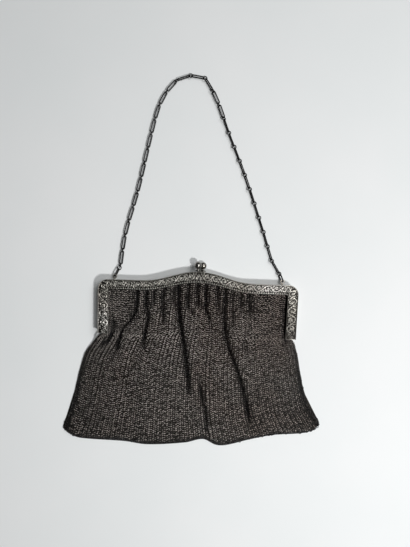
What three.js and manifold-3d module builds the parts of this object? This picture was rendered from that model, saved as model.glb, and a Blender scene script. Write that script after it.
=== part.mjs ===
// Metal mesh purse with a hinged clasp frame, lying flat on its back with its chain laid out.
// Millimetres. +X runs along the frame, +Y towards the chain, +Z up from the surface.
// The origin is on the outside of the back frame half, at the middle of the crest.

import * as THREE from 'three';
import { mergeVertices } from 'three/addons/utils/BufferGeometryUtils.js';
import Module from 'manifold-3d';

const wasm = await Module();
wasm.setup();

// Clearances
const gap = 0.3;                  // between pieces that seat on or pass through each other
const overrun = 1;                // how far a cutting shape runs past what it cuts
const sink = 0.4;                 // how far one soldered shape enters the next
const mergeDistance = 1e-4;       // within which two corners are one

// Sides of round pieces
const pinSides = 10;
const headSides = 12;
const ballSteps = 6;              // from a ball's neck to its top
const linkSides = 10;
const wireSides = 5;
const eyeSides = 12;
const eyeWireSides = 6;

// Clasp frame
const frameWidth = 150;           // over the outer corners
const frameDrop = 40.5;           // from the straight top edge down to the arm ends
const frameThickness = 10;        // over both faces when closed
const bandWidth = 7.1;            // of the band's straight ends
const armWidth = 7.1;
const armTaper = 0.9;             // how far each arm leans inwards at its end
const crestRise = 7.9;            // of the crest above the straight top edge
const crestSwell = 1.1;           // how much wider the band is at the crest
const crestHalfWidth = 42;
const cornerRadius = 7;
const innerCornerRadius = 1.6;
const faceThickness = 1;
const flangeThickness = 1;
const rimWidth = 0.9;             // smooth outer border of the front face
const beadStripWidth = 1;         // inner border, which carries the beading
const reliefDepth = 0.35;         // of the ground between the borders
const scrollDrop = 0.08;          // how far the scrolls stay below the borders
const crestSteps = 14;
const cornerSteps = 6;
const innerCornerSteps = 3;

// Scrolls on the front face
const scrollPitch = 8.2;
const scrollRadius = 2.15;
const scrollEyeRadius = 0.75;
const scrollStemWidth = 0.95;
const scrollTipWidth = 0.6;
const scrollTurn = 1.65 * Math.PI;
const scrollWind = 0.8;           // below 1 it winds in fast at first, above 1 late
const scrollSteps = 5;
const slopeReach = 0.5;           // either way along the band, to find which way it runs

// Hinges at the arm ends
const earRadius = 2;
const earThickness = 1;
const hingeFromEnd = 2.2;         // pin axis above the arm end
const pinRadius = 0.7;
const pinHeadRadius = 1.5;
const pinFootRadius = 1.2;
const pinHeadThickness = 0.6;

// Kiss-lock knobs
const claspOffset = 1.9;          // middle of the pair, right of the frame's middle
const knobSpacing = 4.2;
const knobRadius = 2.35;
const knobHeight = 4.6;           // ball centre above the frame's edge
const knobNeckRadius = 0.8;
const knobCollarRadius = 1.7;
const knobCollarThickness = 0.7;
const knobShankRadius = 0.6;
const knobRootInset = 2.4;        // knob axis from the nearest face of the frame
const frontKnobLean = 0.7;        // how far each ball leans over the other frame half
const backKnobLean = 1.7;

// Eyes of the frame for the chain
const eyeInset = 11;              // each eye's middle from that side of the frame
const eyeRise = 2.4;              // eye centre above the straight top edge
const eyeHeight = 2.8;            // above the back face
const eyeRadius = 1.35;
const eyeWireRadius = 0.4;
const eyePostRadius = 0.6;

// Chain
const linkCount = 29;
const linkWireRadius = 0.42;
const linkRadius = 1.12;          // centreline of a long link's round end
const ringRadius = 1.5;           // centreline of the small round rings
const ringWireRadius = 0.36;
const jumpRingRadius = 1.65;
const connectorRadius = 1.25;
const connectorWireRadius = 0.4;
const connectorTurns = [104, 58]; // degrees out of the surface, at the left and right eyes
const linkContact = 0.76;         // between the wire centres where a link bears on a ring
const chainLift = 0.15;           // keeps the flat sides of the wire off the surface

// Route of the chain on the surface, from the left end to the right
const chainRoute = [
  [-60.1, 7.3], [-57.4, 30.6], [-48.7, 65.2], [-41.9, 99.1], [-37.1, 121.7], [-33.5, 133.6],
  [-27.7, 143.7], [-20.6, 151.2], [-10.3, 154.3], [-0.6, 152.8], [4.6, 145.5], [10.4, 134],
  [18.9, 112.2], [32.6, 79.4], [49, 34.2], [55.9, 13.4], [61.5, 4.5],
];

// How the links lie: from this link on, each is turned this far out of the surface
const linkTurns = [
  { fromLink: 0, degrees: 16 },
  { fromLink: 13, degrees: 74 },
  { fromLink: 16, degrees: 18 },
  { fromLink: 18, degrees: 76 },
];
const linkTurnWander = 7;         // degrees by which neighbours differ
const linkTurnWaves = 5;          // how often that goes to and fro along the chain

// Mesh bag
const bagDrop = 117.9;            // from the band's straight lower edge to the lowest hem
const meshThickness = 1;
const bagTuck = 2.5;              // how far the mesh goes in behind the frame's edge
const bagEdgeRise = 1.2;          // height of the fold at the sides and hem, above the surface
const bagEdgeReach = 3.6;         // width over which the mesh rounds down to its edge
const bagDropIn = 1.5;            // how far inside the frame the back mesh comes down
const bagRiseRun = 4;             // width over which the front mesh rises from behind the frame
const hingeLineRise = 0.5;        // how much the mesh between the hinges follows the crest
const hingeLineClear = 0.2;       // how far the side openings reach past the line of the hinges
const foldDepth = 1.8;
const foldWidth = 1.35;
const foldsFromBand = 0.1;        // folds that start above this share of the drop start at the band
const foldFadeIn = 0.33;          // share of its length over which a fold lower down gets deep
const foldFadeOut = 0.5;          // share of its length over which a fold runs out
const heldFoldShare = 0.6;        // share of a fold's depth behind the frame's edge
const mouthRows = 3;
const sideColumns = 4;

// The mesh below the frame, section by section. down is the share of the way from the arm
// ends to the hem, left and right the half widths as shares of half the frame's width, and
// height the top of the mesh as a share of the frame's thickness.
const skirtSections = [
  { down: 0.00, left: 0.928, right: 0.928, height: 0.94 },
  { down: 0.03, left: 1.024, right: 1.000, height: 0.92 },
  { down: 0.08, left: 1.058, right: 1.020, height: 0.86 },
  { down: 0.20, left: 1.130, right: 1.040, height: 0.78 },
  { down: 0.38, left: 1.191, right: 1.068, height: 0.67 },
  { down: 0.58, left: 1.232, right: 1.103, height: 0.57 },
  { down: 0.74, left: 1.270, right: 1.163, height: 0.50 },
  { down: 0.86, left: 1.304, right: 1.240, height: 0.45 },
  { down: 0.95, left: 1.331, right: 1.273, height: 0.42 },
  { down: 0.985, left: 1.329, right: 1.266, height: 0.41 },
  { down: 1.00, left: 1.320, right: 1.253, height: 0.40 },
];

// The hem. across is the share of the hem's width from its left end, and drop the share of
// the bag's drop.
const hemSections = [
  { across: 0.00, drop: 0.917 }, { across: 0.03, drop: 0.949 }, { across: 0.07, drop: 0.972 },
  { across: 0.24, drop: 0.984 }, { across: 0.33, drop: 1.000 }, { across: 0.48, drop: 0.980 },
  { across: 0.55, drop: 0.952 }, { across: 0.60, drop: 0.988 }, { across: 0.64, drop: 0.988 },
  { across: 0.74, drop: 0.943 }, { across: 0.83, drop: 0.911 }, { across: 0.93, drop: 0.896 },
  { across: 0.975, drop: 0.880 }, { across: 1.00, drop: 0.857 },
];

// The valleys of the folds. Each runs through three places: across is a share of half the
// frame's width from the middle, down a share of the bag's drop from the band. wide and deep
// are shares of the fold's named width and depth.
const folds = [
  { across: [-0.835, -0.853, -0.959], down: [0.200, 0.297, 0.395], wide: 1.6, deep: 0.9 },
  { across: [-0.627, -0.677, -0.841], down: [0.016, 0.190, 0.437], wide: 1.2, deep: 0.9 },
  { across: [-0.525, -0.487, -0.537], down: [0.014, 0.167, 0.354], wide: 1.1, deep: 0.9 },
  { across: [-0.435, -0.445, -0.452], down: [0.000, 0.050, 0.150], wide: 0.9, deep: 0.7 },
  { across: [-0.359, -0.349, -0.339], down: [0.000, 0.070, 0.200], wide: 0.9, deep: 0.8 },
  { across: [-0.259, -0.255, -0.250], down: [0.000, 0.050, 0.130], wide: 0.9, deep: 0.7 },
  { across: [-0.195, -0.161, -0.057], down: [-0.01, 0.224, 0.700], wide: 1.4, deep: 1.0 },
  { across: [-0.093, -0.097, -0.099], down: [0.000, 0.050, 0.150], wide: 0.9, deep: 0.7 },
  { across: [-0.007, 0.000, 0.003], down: [0.000, 0.050, 0.120], wide: 0.9, deep: 0.7 },
  { across: [0.088, 0.092, 0.105], down: [-0.02, 0.068, 0.200], wide: 0.9, deep: 0.8 },
  { across: [0.208, 0.211, 0.217], down: [-0.02, 0.060, 0.180], wide: 0.9, deep: 0.7 },
  { across: [0.279, 0.313, 0.573], down: [-0.01, 0.342, 0.900], wide: 1.5, deep: 1.0 },
  { across: [0.361, 0.397, 0.401], down: [0.014, 0.116, 0.260], wide: 0.9, deep: 0.7 },
  { across: [0.523, 0.529, 0.536], down: [0.010, 0.060, 0.140], wide: 0.9, deep: 0.6 },
  { across: [0.048, 0.108, 0.097], down: [0.500, 0.740, 1.050], wide: 2.0, deep: 1.0 },
  { across: [0.699, 0.880, 1.056], down: [0.450, 0.628, 0.820], wide: 2.4, deep: 0.6 },
];

// Values that follow from the sizes above
const halfWidth = frameWidth / 2;
const crestTop = (bandWidth + crestSwell) / 2;
const straightTop = crestTop - crestRise;
const straightBottom = straightTop - bandWidth;
const armEnd = straightTop - frameDrop;
const innerHalfWidth = halfWidth - armWidth;
const halfThickness = (frameThickness - gap) / 2;
const parting = frameThickness / 2;
const frontFaceBack = frameThickness - faceThickness;
const hingeY = armEnd + hingeFromEnd;
const hingeX = halfWidth - armTaper;
const hemLevel = straightBottom - bagDrop;
const mouthHalfWidth = innerHalfWidth + bagTuck;
const hingeLine = armEnd - gap;
const meshTop = frontFaceBack - gap;
const meshBottom = faceThickness + gap;

// Finishes
const silver = new THREE.MeshStandardMaterial({ color: 0x9b978e, roughness: 0.42, metalness: 1 });
const silverBack = silver.clone();
const knobSilver = new THREE.MeshStandardMaterial({ color: 0xb3afa6, roughness: 0.3, metalness: 1 });
const pinSilver = new THREE.MeshStandardMaterial({ color: 0x8a857c, roughness: 0.5, metalness: 1 });
const darkSteel = new THREE.MeshStandardMaterial({ color: 0x3c3c3b, roughness: 0.5, metalness: 1 });
const meshMetal = new THREE.MeshStandardMaterial({ color: 0x56504b, roughness: 0.55, metalness: 1 });

// Joins and cuts

// A closed geometry as a solid, with equal corners merged and flat triangles left out
function toSolid(geometry) {
  const bare = geometry.index ? geometry.toNonIndexed() : geometry.clone();
  bare.deleteAttribute('normal');
  bare.deleteAttribute('uv');
  const merged = mergeVertices(bare, mergeDistance);
  const corners = merged.index.array;
  const kept = [];
  for (let i = 0; i < corners.length; i += 3) {
    const [a, b, c] = [corners[i], corners[i + 1], corners[i + 2]];
    if (a !== b && b !== c && c !== a) kept.push(a, b, c);
  }
  return new wasm.Manifold(new wasm.Mesh({
    numProp: 3,
    vertProperties: new Float32Array(merged.attributes.position.array),
    triVerts: new Uint32Array(kept),
  }));
}

function toMesh(name, solid, material) {
  const { vertProperties, triVerts } = solid.getMesh();
  const geometry = new THREE.BufferGeometry();
  geometry.setAttribute('position', new THREE.BufferAttribute(vertProperties, 3));
  geometry.setIndex(new THREE.BufferAttribute(triVerts, 1));
  geometry.computeVertexNormals();
  const mesh = new THREE.Mesh(geometry, material);
  mesh.name = name;
  return mesh;
}

function join(solids) {
  return solids.reduce((whole, solid) => whole.add(solid));
}

// A flat outline in X and Y made solid between two heights
function plate(points, bottom, top) {
  const shape = new THREE.Shape(points);
  const geometry = new THREE.ExtrudeGeometry(shape, { depth: top - bottom, bevelEnabled: false });
  geometry.translate(0, 0, bottom);
  return toSolid(geometry);
}

// A round bar along X, from one place to another
function barAlongX(radius, from, to, y, z, sides) {
  const geometry = new THREE.CylinderGeometry(radius, radius, Math.abs(to - from), sides);
  geometry.rotateZ(Math.PI / 2);
  geometry.translate((from + to) / 2, y, z);
  return toSolid(geometry);
}

function box(low, high) {
  const geometry = new THREE.BoxGeometry(high[0] - low[0], high[1] - low[1], high[2] - low[2]);
  geometry.translate((low[0] + high[0]) / 2, (low[1] + high[1]) / 2, (low[2] + high[2]) / 2);
  return toSolid(geometry);
}

// Shape of the frame

// Height of the crest as a share, 1 in the middle and 0 from its half width on
function crestShare(x) {
  return Math.abs(x) < crestHalfWidth ? (1 + Math.cos((Math.PI * x) / crestHalfWidth)) / 2 : 0;
}

function upperEdge(x) {
  return straightTop + crestRise * crestShare(x);
}

function lowerEdge(x) {
  return straightBottom + (crestRise - crestSwell) * crestShare(x);
}

// How far the arms lean inwards at this level
function armLean(y) {
  const start = straightTop - cornerRadius;
  return armTaper * THREE.MathUtils.clamp((start - y) / (start - armEnd), 0, 1);
}

// The frame seen from the front, with its outer edge, inner edge and arm ends moved into the
// metal by these amounts, or out of it where they are negative
function frameOutline(outerInset, innerInset, endInset) {
  const end = armEnd + endInset;
  const right = [];
  for (let i = 0; i <= crestSteps / 2; i += 1) {
    const x = (crestHalfWidth * i) / (crestSteps / 2);
    right.push([x, upperEdge(x) - outerInset]);
  }
  const radius = cornerRadius - outerInset;
  for (let i = 0; i <= cornerSteps; i += 1) {
    const turn = ((Math.PI / 2) * i) / cornerSteps;
    right.push([
      halfWidth - cornerRadius + radius * Math.sin(turn),
      straightTop - cornerRadius + radius * Math.cos(turn),
    ]);
  }
  right.push([halfWidth - outerInset - armLean(end), end]);
  right.push([innerHalfWidth + innerInset - armLean(end), end]);
  const innerRadius = Math.max(innerCornerRadius + innerInset, 0);
  const centreX = innerHalfWidth - innerCornerRadius + Math.min(innerCornerRadius + innerInset, 0);
  const centreY = straightBottom - innerCornerRadius + Math.min(innerCornerRadius + innerInset, 0);
  for (let i = 0; i <= innerCornerSteps; i += 1) {
    const turn = ((Math.PI / 2) * i) / innerCornerSteps;
    right.push([centreX + innerRadius * Math.cos(turn), centreY + innerRadius * Math.sin(turn)]);
    if (innerRadius === 0) break;
  }
  for (let i = crestSteps / 2; i >= 0; i -= 1) {
    const x = (crestHalfWidth * i) / (crestSteps / 2);
    right.push([x, lowerEdge(x) + innerInset]);
  }
  const left = right.slice(1, -1).map(([x, y]) => [-x, y]).reverse();
  return [...right, ...left].map(([x, y]) => new THREE.Vector2(x, y));
}

// One scroll: a strip that winds in from the edge of the field to a small eye
function scrollOutline(place, direction, side) {
  const outer = [];
  const inner = [];
  for (let i = 0; i <= scrollSteps; i += 1) {
    const share = i / scrollSteps;
    const turn = scrollTurn * share;
    const radius = THREE.MathUtils.lerp(scrollRadius, scrollEyeRadius, share ** scrollWind);
    const half = THREE.MathUtils.lerp(scrollStemWidth, scrollTipWidth, share) / 2;
    outer.push([(radius + half) * Math.cos(turn), side * (radius + half) * Math.sin(turn)]);
    inner.push([(radius - half) * Math.cos(turn), side * (radius - half) * Math.sin(turn)]);
  }
  const loop = [...outer, ...inner.reverse()];
  const [cos, sin] = [Math.cos(direction), Math.sin(direction)];
  const placed = loop.map(([x, y]) => (
    new THREE.Vector2(place[0] + cos * x - sin * y, place[1] + sin * x + cos * y)
  ));
  return side > 0 ? placed : placed.reverse();
}

// Middle of the ornament's field across the band at x
function fieldMiddle(x) {
  return (upperEdge(x) - rimWidth + lowerEdge(x) + beadStripWidth) / 2;
}

// Places of the scrolls along the band and down both arms
function scrollPlaces() {
  const places = [];
  const bandRun = 2 * (innerHalfWidth - innerCornerRadius);
  const bandCount = 2 * Math.round(bandRun / scrollPitch / 2);
  for (let i = 0; i < bandCount; i += 1) {
    const x = (bandRun * (i + 0.5)) / bandCount - bandRun / 2;
    const rise = fieldMiddle(x + slopeReach) - fieldMiddle(x - slopeReach);
    const direction = Math.atan2(rise, 2 * slopeReach);
    places.push({ at: [x, fieldMiddle(x)], direction, side: i % 2 ? 1 : -1 });
  }
  const armRun = straightBottom - armEnd - 2 * rimWidth;
  const armCount = Math.floor(armRun / scrollPitch);
  for (let i = 0; i < armCount; i += 1) {
    const y = straightBottom - (armRun * (i + 0.5)) / armCount;
    const middle = halfWidth - armLean(y) - (armWidth + rimWidth - beadStripWidth) / 2;
    for (const hand of [-1, 1]) {
      places.push({ at: [hand * middle, y], direction: -Math.PI / 2, side: i % 2 ? hand : -hand });
    }
  }
  return places;
}

// Either half of the frame with its face up: a face plate with a flange along its outer edge
function frameHalf() {
  const body = plate(frameOutline(0, 0, 0), 0, halfThickness);
  const channel = plate(
    frameOutline(flangeThickness, -bagTuck - overrun, -overrun),
    -overrun,
    halfThickness - faceThickness,
  );
  return body.subtract(channel);
}

// The ground between the borders of the front face, with the scrolls left standing in it
function reliefCut() {
  const ground = plate(
    frameOutline(rimWidth, beadStripWidth, rimWidth),
    halfThickness - reliefDepth,
    halfThickness + overrun,
  );
  const scrolls = scrollPlaces().map(({ at, direction, side }) => plate(
    scrollOutline(at, direction, side),
    halfThickness - reliefDepth - sink,
    halfThickness - scrollDrop,
  ));
  return scrolls.reduce((cut, scroll) => cut.subtract(scroll), ground);
}

// Hinges

// An ear round the hinge pin: a round lobe joined to the frame half above or below it
function hingeEar(hand, innerFace, rootZ) {
  const near = hand * innerFace;
  const far = hand * (innerFace + earThickness);
  const lobe = barAlongX(earRadius, near, far, hingeY, parting, headSides);
  const [lowX, highX] = [Math.min(near, far), Math.max(near, far)];
  const root = box(
    [lowX, hingeY - earRadius, Math.min(parting, rootZ)],
    [highX, hingeY + earRadius, Math.max(parting, rootZ)],
  );
  return lobe.add(root);
}

// The outer ear sits in the back half's flange, and the front half's flange makes room for it
const outerEarFace = hingeX - earThickness;
const innerEarFace = outerEarFace - gap - earThickness;

function earNotch(hand) {
  const low = hingeY - earRadius - overrun;
  const high = hingeY + earRadius + gap;
  const sides = [hand * (outerEarFace - gap), hand * (halfWidth + overrun)];
  return box(
    [Math.min(...sides), low - overrun, 0],
    [Math.max(...sides), high, parting + earRadius + gap],
  );
}

// The hole through both ears for the pin
function hingeHole(hand) {
  const inside = hand * (innerEarFace - overrun);
  const outside = hand * (halfWidth + overrun);
  return barAlongX(pinRadius + gap, inside, outside, hingeY, parting, pinSides);
}

// A rivet through both ears, with its head on the outside
function hingePin(hand) {
  const inside = hand * (innerEarFace - gap - pinHeadThickness);
  const underHead = hand * (hingeX + gap);
  const overHead = underHead + hand * pinHeadThickness;
  const overFoot = inside + hand * pinHeadThickness;
  return join([
    barAlongX(pinRadius, inside, underHead + hand * sink, hingeY, parting, pinSides),
    barAlongX(pinHeadRadius, underHead, overHead, hingeY, parting, headSides),
    barAlongX(pinFootRadius, inside, overFoot, hingeY, parting, pinSides),
  ]);
}

// Kiss-lock

// A ball on a neck and collar, turned round Y, with a shank that goes into the frame's edge
function kissKnob(x, rootZ, lean) {
  const seat = upperEdge(x) + gap;
  const collarTop = knobCollarThickness;
  const ballMiddle = knobHeight - gap;
  const shankEnd = -flangeThickness - gap - knobShankRadius;
  const neckAngle = Math.acos(knobNeckRadius / knobRadius);
  const profile = [
    [0, shankEnd], [knobShankRadius, shankEnd], [knobShankRadius, 0],
    [knobCollarRadius, 0], [knobCollarRadius, collarTop], [knobNeckRadius, collarTop],
  ];
  for (let i = 0; i < ballSteps; i += 1) {
    const turn = THREE.MathUtils.lerp(-neckAngle, Math.PI / 2, i / ballSteps);
    profile.push([knobRadius * Math.cos(turn), ballMiddle + knobRadius * Math.sin(turn)]);
  }
  profile.push([0, ballMiddle + knobRadius]);
  const points = profile.map(([radius, height]) => new THREE.Vector2(radius, height));
  const geometry = new THREE.LatheGeometry(points, pinSides);
  const position = geometry.attributes.position;
  for (let i = 0; i < position.count; i += 1) {
    const above = Math.max(position.getY(i) - collarTop, 0);
    const shift = (lean * above) / (ballMiddle - collarTop);
    position.setZ(i, position.getZ(i) + shift);
  }
  geometry.translate(x, seat, rootZ);
  return toSolid(geometry);
}

// The hole in the frame's edge for a knob's shank
function knobHole(x, z) {
  const radius = knobShankRadius + gap;
  const depth = 2 * overrun + flangeThickness;
  const geometry = new THREE.CylinderGeometry(radius, radius, depth, pinSides);
  geometry.translate(x, upperEdge(x) - flangeThickness / 2, z);
  return toSolid(geometry);
}

// Chain

// A closed wire round Z with a ridge of the wire on its inside. A link is drawn out along X,
// and a ring is turned by half a side so that links bear between its corners.
function wireLoop(radius, wireRadius, stretch) {
  const section = [];
  for (let i = 0; i <= wireSides; i += 1) {
    const turn = Math.PI + (2 * Math.PI * i) / wireSides;
    const fromMiddle = radius + wireRadius * Math.cos(turn);
    section.push(new THREE.Vector2(fromMiddle, wireRadius * Math.sin(turn)));
  }
  const geometry = new THREE.LatheGeometry(section, linkSides, Math.PI / 2);
  geometry.rotateX(Math.PI / 2);
  if (stretch === 0) geometry.rotateZ(Math.PI / linkSides);
  const position = geometry.attributes.position;
  for (let i = 0; i < position.count; i += 1) {
    position.setX(i, position.getX(i) + Math.sign(position.getX(i)) * stretch);
  }
  return geometry;
}

// Puts a loop's middle at a place, its length along a direction, turned about that direction
function layLoop(geometry, middle, direction, degrees) {
  const along = direction.clone().normalize();
  const level = new THREE.Vector3(0, 0, 1).cross(along).normalize();
  const upright = along.clone().cross(level);
  const turn = THREE.MathUtils.degToRad(degrees);
  const across = level.clone().multiplyScalar(Math.cos(turn))
    .add(upright.clone().multiplyScalar(Math.sin(turn)));
  const normal = along.clone().cross(across);
  geometry.applyMatrix4(new THREE.Matrix4().makeBasis(along, across, normal));
  geometry.translate(middle.x, middle.y, middle.z);
  return toSolid(geometry);
}

function linkTurn(index) {
  const run = linkTurns.filter(({ fromLink }) => fromLink <= index).pop();
  const wander = linkTurnWander * Math.sin((2 * Math.PI * linkTurnWaves * index) / linkCount);
  return run.degrees + wander;
}

// Height at which links and rings turned this far rest on the surface
function restHeight(degrees) {
  const turn = THREE.MathUtils.degToRad(degrees);
  const linkRest = linkRadius * Math.abs(Math.sin(turn)) + linkWireRadius;
  const ringRest = ringRadius * Math.abs(Math.cos(turn)) + ringWireRadius;
  return Math.max(linkRest, ringRest) + chainLift;
}

// The places where links meet: equal steps along the route, at the height that they rest at
function linkStations() {
  const route = new THREE.CatmullRomCurve3(
    chainRoute.map(([x, y]) => new THREE.Vector3(x, y, 0)),
    false,
    'centripetal',
  );
  const stations = route.getSpacedPoints(linkCount);
  stations.forEach((station, index) => {
    const before = restHeight(linkTurn(Math.max(index - 1, 0)));
    const after = restHeight(linkTurn(Math.min(index, linkCount - 1)));
    station.z = Math.max(before, after);
  });
  return stations;
}

function eyeMiddle(hand) {
  return new THREE.Vector3(hand * (halfWidth - eyeInset), straightTop + eyeRise, eyeHeight);
}

// How far past a ring's middle a link's end lies, towards the link
const reachInRing = ringRadius - linkContact;
const reachInJumpRing = jumpRingRadius - linkContact;

// An oval link from a ring at the end of the chain through an eye of the frame
function connector(ring, reach, eye, degrees) {
  const direction = eye.clone().sub(ring).normalize();
  const start = ring.clone().addScaledVector(direction, reach);
  const stretch = start.distanceTo(eye) / 2 - connectorRadius;
  const middle = start.clone().add(eye).multiplyScalar(0.5);
  const loop = wireLoop(connectorRadius, connectorWireRadius, stretch);
  return layLoop(loop, middle, direction, degrees);
}

function carryingChain() {
  const stations = linkStations();
  const pieces = [];
  for (let i = 0; i < linkCount; i += 1) {
    const chord = stations[i + 1].clone().sub(stations[i]);
    const stretch = chord.length() / 2 - reachInRing - linkRadius;
    const middle = stations[i].clone().add(stations[i + 1]).multiplyScalar(0.5);
    pieces.push(layLoop(wireLoop(linkRadius, linkWireRadius, stretch), middle, chord, linkTurn(i)));
  }
  for (let i = 0; i <= linkCount; i += 1) {
    const before = stations[Math.max(i - 1, 0)];
    const after = stations[Math.min(i + 1, linkCount)];
    const turn = (linkTurn(Math.max(i - 1, 0)) + linkTurn(Math.min(i, linkCount - 1))) / 2 + 90;
    const loop = wireLoop(ringRadius, ringWireRadius, 0);
    pieces.push(layLoop(loop, stations[i], after.clone().sub(before), turn));
  }
  const towardsEye = eyeMiddle(-1).sub(stations[0]).normalize();
  const jumpRing = stations[0].clone().addScaledVector(towardsEye, reachInRing + jumpRingRadius);
  const jumpLoop = wireLoop(jumpRingRadius, ringWireRadius, 0);
  pieces.push(layLoop(jumpLoop, jumpRing, towardsEye, linkTurn(0)));
  pieces.push(connector(jumpRing, reachInJumpRing, eyeMiddle(-1), connectorTurns[0]));
  pieces.push(connector(stations[linkCount], reachInRing, eyeMiddle(1), connectorTurns[1]));
  return join(pieces);
}

// A wire eye on a short post, on the edge of the back frame half
function chainEye(hand) {
  const middle = eyeMiddle(hand);
  const ring = new THREE.TorusGeometry(eyeRadius, eyeWireRadius, eyeWireSides, eyeSides);
  ring.translate(middle.x, middle.y, middle.z);
  const postBottom = straightTop - flangeThickness / 2;
  const postTop = middle.y - eyeRadius;
  const postLength = postTop - postBottom;
  const post = new THREE.CylinderGeometry(eyePostRadius, eyePostRadius, postLength, pinSides);
  post.translate(middle.x, (postBottom + postTop) / 2, middle.z);
  return toSolid(ring).add(toSolid(post));
}

// Mesh bag

// A smooth curve through a table's rows: the value of one column where another has this value
function along(table, key, column, at) {
  const last = table.length - 1;
  let i = 0;
  while (i < last - 1 && at > table[i + 1][key]) i += 1;
  const slope = (a, b) => (table[b][column] - table[a][column]) / (table[b][key] - table[a][key]);
  const step = table[i + 1][key] - table[i][key];
  const share = THREE.MathUtils.clamp((at - table[i][key]) / step, 0, 1);
  const startSlope = slope(Math.max(i - 1, 0), i + 1) * step;
  const endSlope = slope(i, Math.min(i + 2, last)) * step;
  const [start, end] = [table[i][column], table[i + 1][column]];
  const [square, cube] = [share ** 2, share ** 3];
  return start * (2 * cube - 3 * square + 1) + startSlope * (cube - 2 * square + share)
    + end * (3 * square - 2 * cube) + endSlope * (cube - square);
}

// Where a fold's valley is across the bag at this level, on the parabola through its places
function valleyAcross({ across, down }, level) {
  return across.reduce((sum, value, i) => {
    const others = [0, 1, 2].filter((j) => j !== i);
    const weight = others.reduce((w, j) => (w * (level - down[j])) / (down[i] - down[j]), 1);
    return sum + value * weight;
  }, 0);
}

// How deep the folds press into the front of the bag at a place
function foldPress(x, y) {
  const level = (straightBottom - y) / bagDrop;
  return folds.reduce((sum, fold) => {
    const [first, , last] = fold.down;
    const held = THREE.MathUtils.clamp(level, first, last);
    const centre = valleyAcross(fold, held) * halfWidth;
    const share = (level - first) / (last - first);
    const fadeIn = first > foldsFromBand ? THREE.MathUtils.smoothstep(share, 0, foldFadeIn) : 1;
    const fadeOut = 1 - THREE.MathUtils.smoothstep(share, 1 - foldFadeOut, 1);
    const spread = foldWidth * fold.wide;
    const profile = Math.exp(-(((x - centre) / spread) ** 2) / 2);
    return sum + foldDepth * fold.deep * profile * fadeIn * fadeOut;
  }, 0);
}

// The net that the bag's faces are laid on: across runs from 0 at the left edge to 1 at the
// right, and down from 0 to 1 in each of two zones, the mouth between the frame's arms and the
// skirt below them. In the mouth, and on the line between the hinges, the sides are open.
function isOpen(row) {
  return row.zone === 'mouth' || row.down === 0;
}

// Place of a point of the net, moved out of the bag by one margin where its edge is open and
// into it by the other where it is closed
function bagPlace(across, row, outwards, inwards) {
  const side = 2 * across - 1;
  const hinge = hingeLine + crestShare(mouthHalfWidth * side) * crestRise * hingeLineRise;
  if (isOpen(row)) {
    const down = row.zone === 'mouth' ? row.down : 1;
    const clear = row.zone === 'mouth' ? outwards : Math.min(outwards, hingeLineClear);
    const x = (mouthHalfWidth - armTaper * down + clear) * side;
    const top = lowerEdge(x) + bagTuck + outwards;
    return [x, THREE.MathUtils.lerp(top, hinge, down)];
  }
  const left = -along(skirtSections, 'down', 'left', row.down) * halfWidth + inwards;
  const right = along(skirtSections, 'down', 'right', row.down) * halfWidth - inwards;
  const hem = straightBottom - along(hemSections, 'across', 'drop', across) * bagDrop + inwards;
  return [THREE.MathUtils.lerp(left, right, across), THREE.MathUtils.lerp(hinge, hem, row.down)];
}

// Columns of the net: one in each valley that starts at the band, one on each ridge between
// two of them, and a few in the smooth stretch at each side, closer together at its edge
function bagColumns() {
  const valleys = folds.filter(({ down }) => down[0] < foldsFromBand)
    .map(({ across }) => ((across[0] * halfWidth) / mouthHalfWidth + 1) / 2)
    .sort((a, b) => a - b);
  const ridges = valleys.slice(1).map((valley, i) => (valley + valleys[i]) / 2);
  const [first, last] = [valleys[0], valleys[valleys.length - 1]];
  const sides = [];
  for (let i = 0; i < sideColumns; i += 1) {
    const share = (i / sideColumns) ** 2;
    sides.push(first * share, 1 - (1 - last) * share);
  }
  return [...sides, ...valleys, ...ridges].sort((a, b) => a - b);
}

function bagRows() {
  const rows = [];
  for (let i = 0; i < mouthRows; i += 1) rows.push({ zone: 'mouth', down: i / mouthRows });
  return [...rows, ...skirtSections.map(({ down }) => ({ zone: 'skirt', down }))];
}

// How far the mesh has rounded up from its edge: 0 at a closed edge, 1 well inside the bag
function edgeShare(across, row) {
  if (isOpen(row)) return 1;
  const width = (along(skirtSections, 'down', 'left', row.down)
    + along(skirtSections, 'down', 'right', row.down)) * halfWidth;
  const fromSide = Math.min(across, 1 - across) * width;
  const fromHem = (1 - row.down) * (armEnd - hemLevel);
  const share = Math.min(fromSide, fromHem, bagEdgeReach) / bagEdgeReach;
  return Math.sqrt(1 - (1 - share) ** 2);
}

// Top of the front mesh away from the edge: held down behind the frame, and free outside it
function frontHeight(x, y, row) {
  const fromFrame = Math.min(lowerEdge(x) - y, innerHalfWidth - armLean(y) - Math.abs(x));
  const free = isOpen(row) ? THREE.MathUtils.smoothstep(fromFrame, 0, bagRiseRun) : 1;
  const share = isOpen(row) ? skirtSections[0].height
    : along(skirtSections, 'down', 'height', row.down);
  const smooth = THREE.MathUtils.lerp(meshTop, share * frameThickness, free);
  return smooth - foldPress(x, y) * THREE.MathUtils.lerp(heldFoldShare, 1, free);
}

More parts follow.
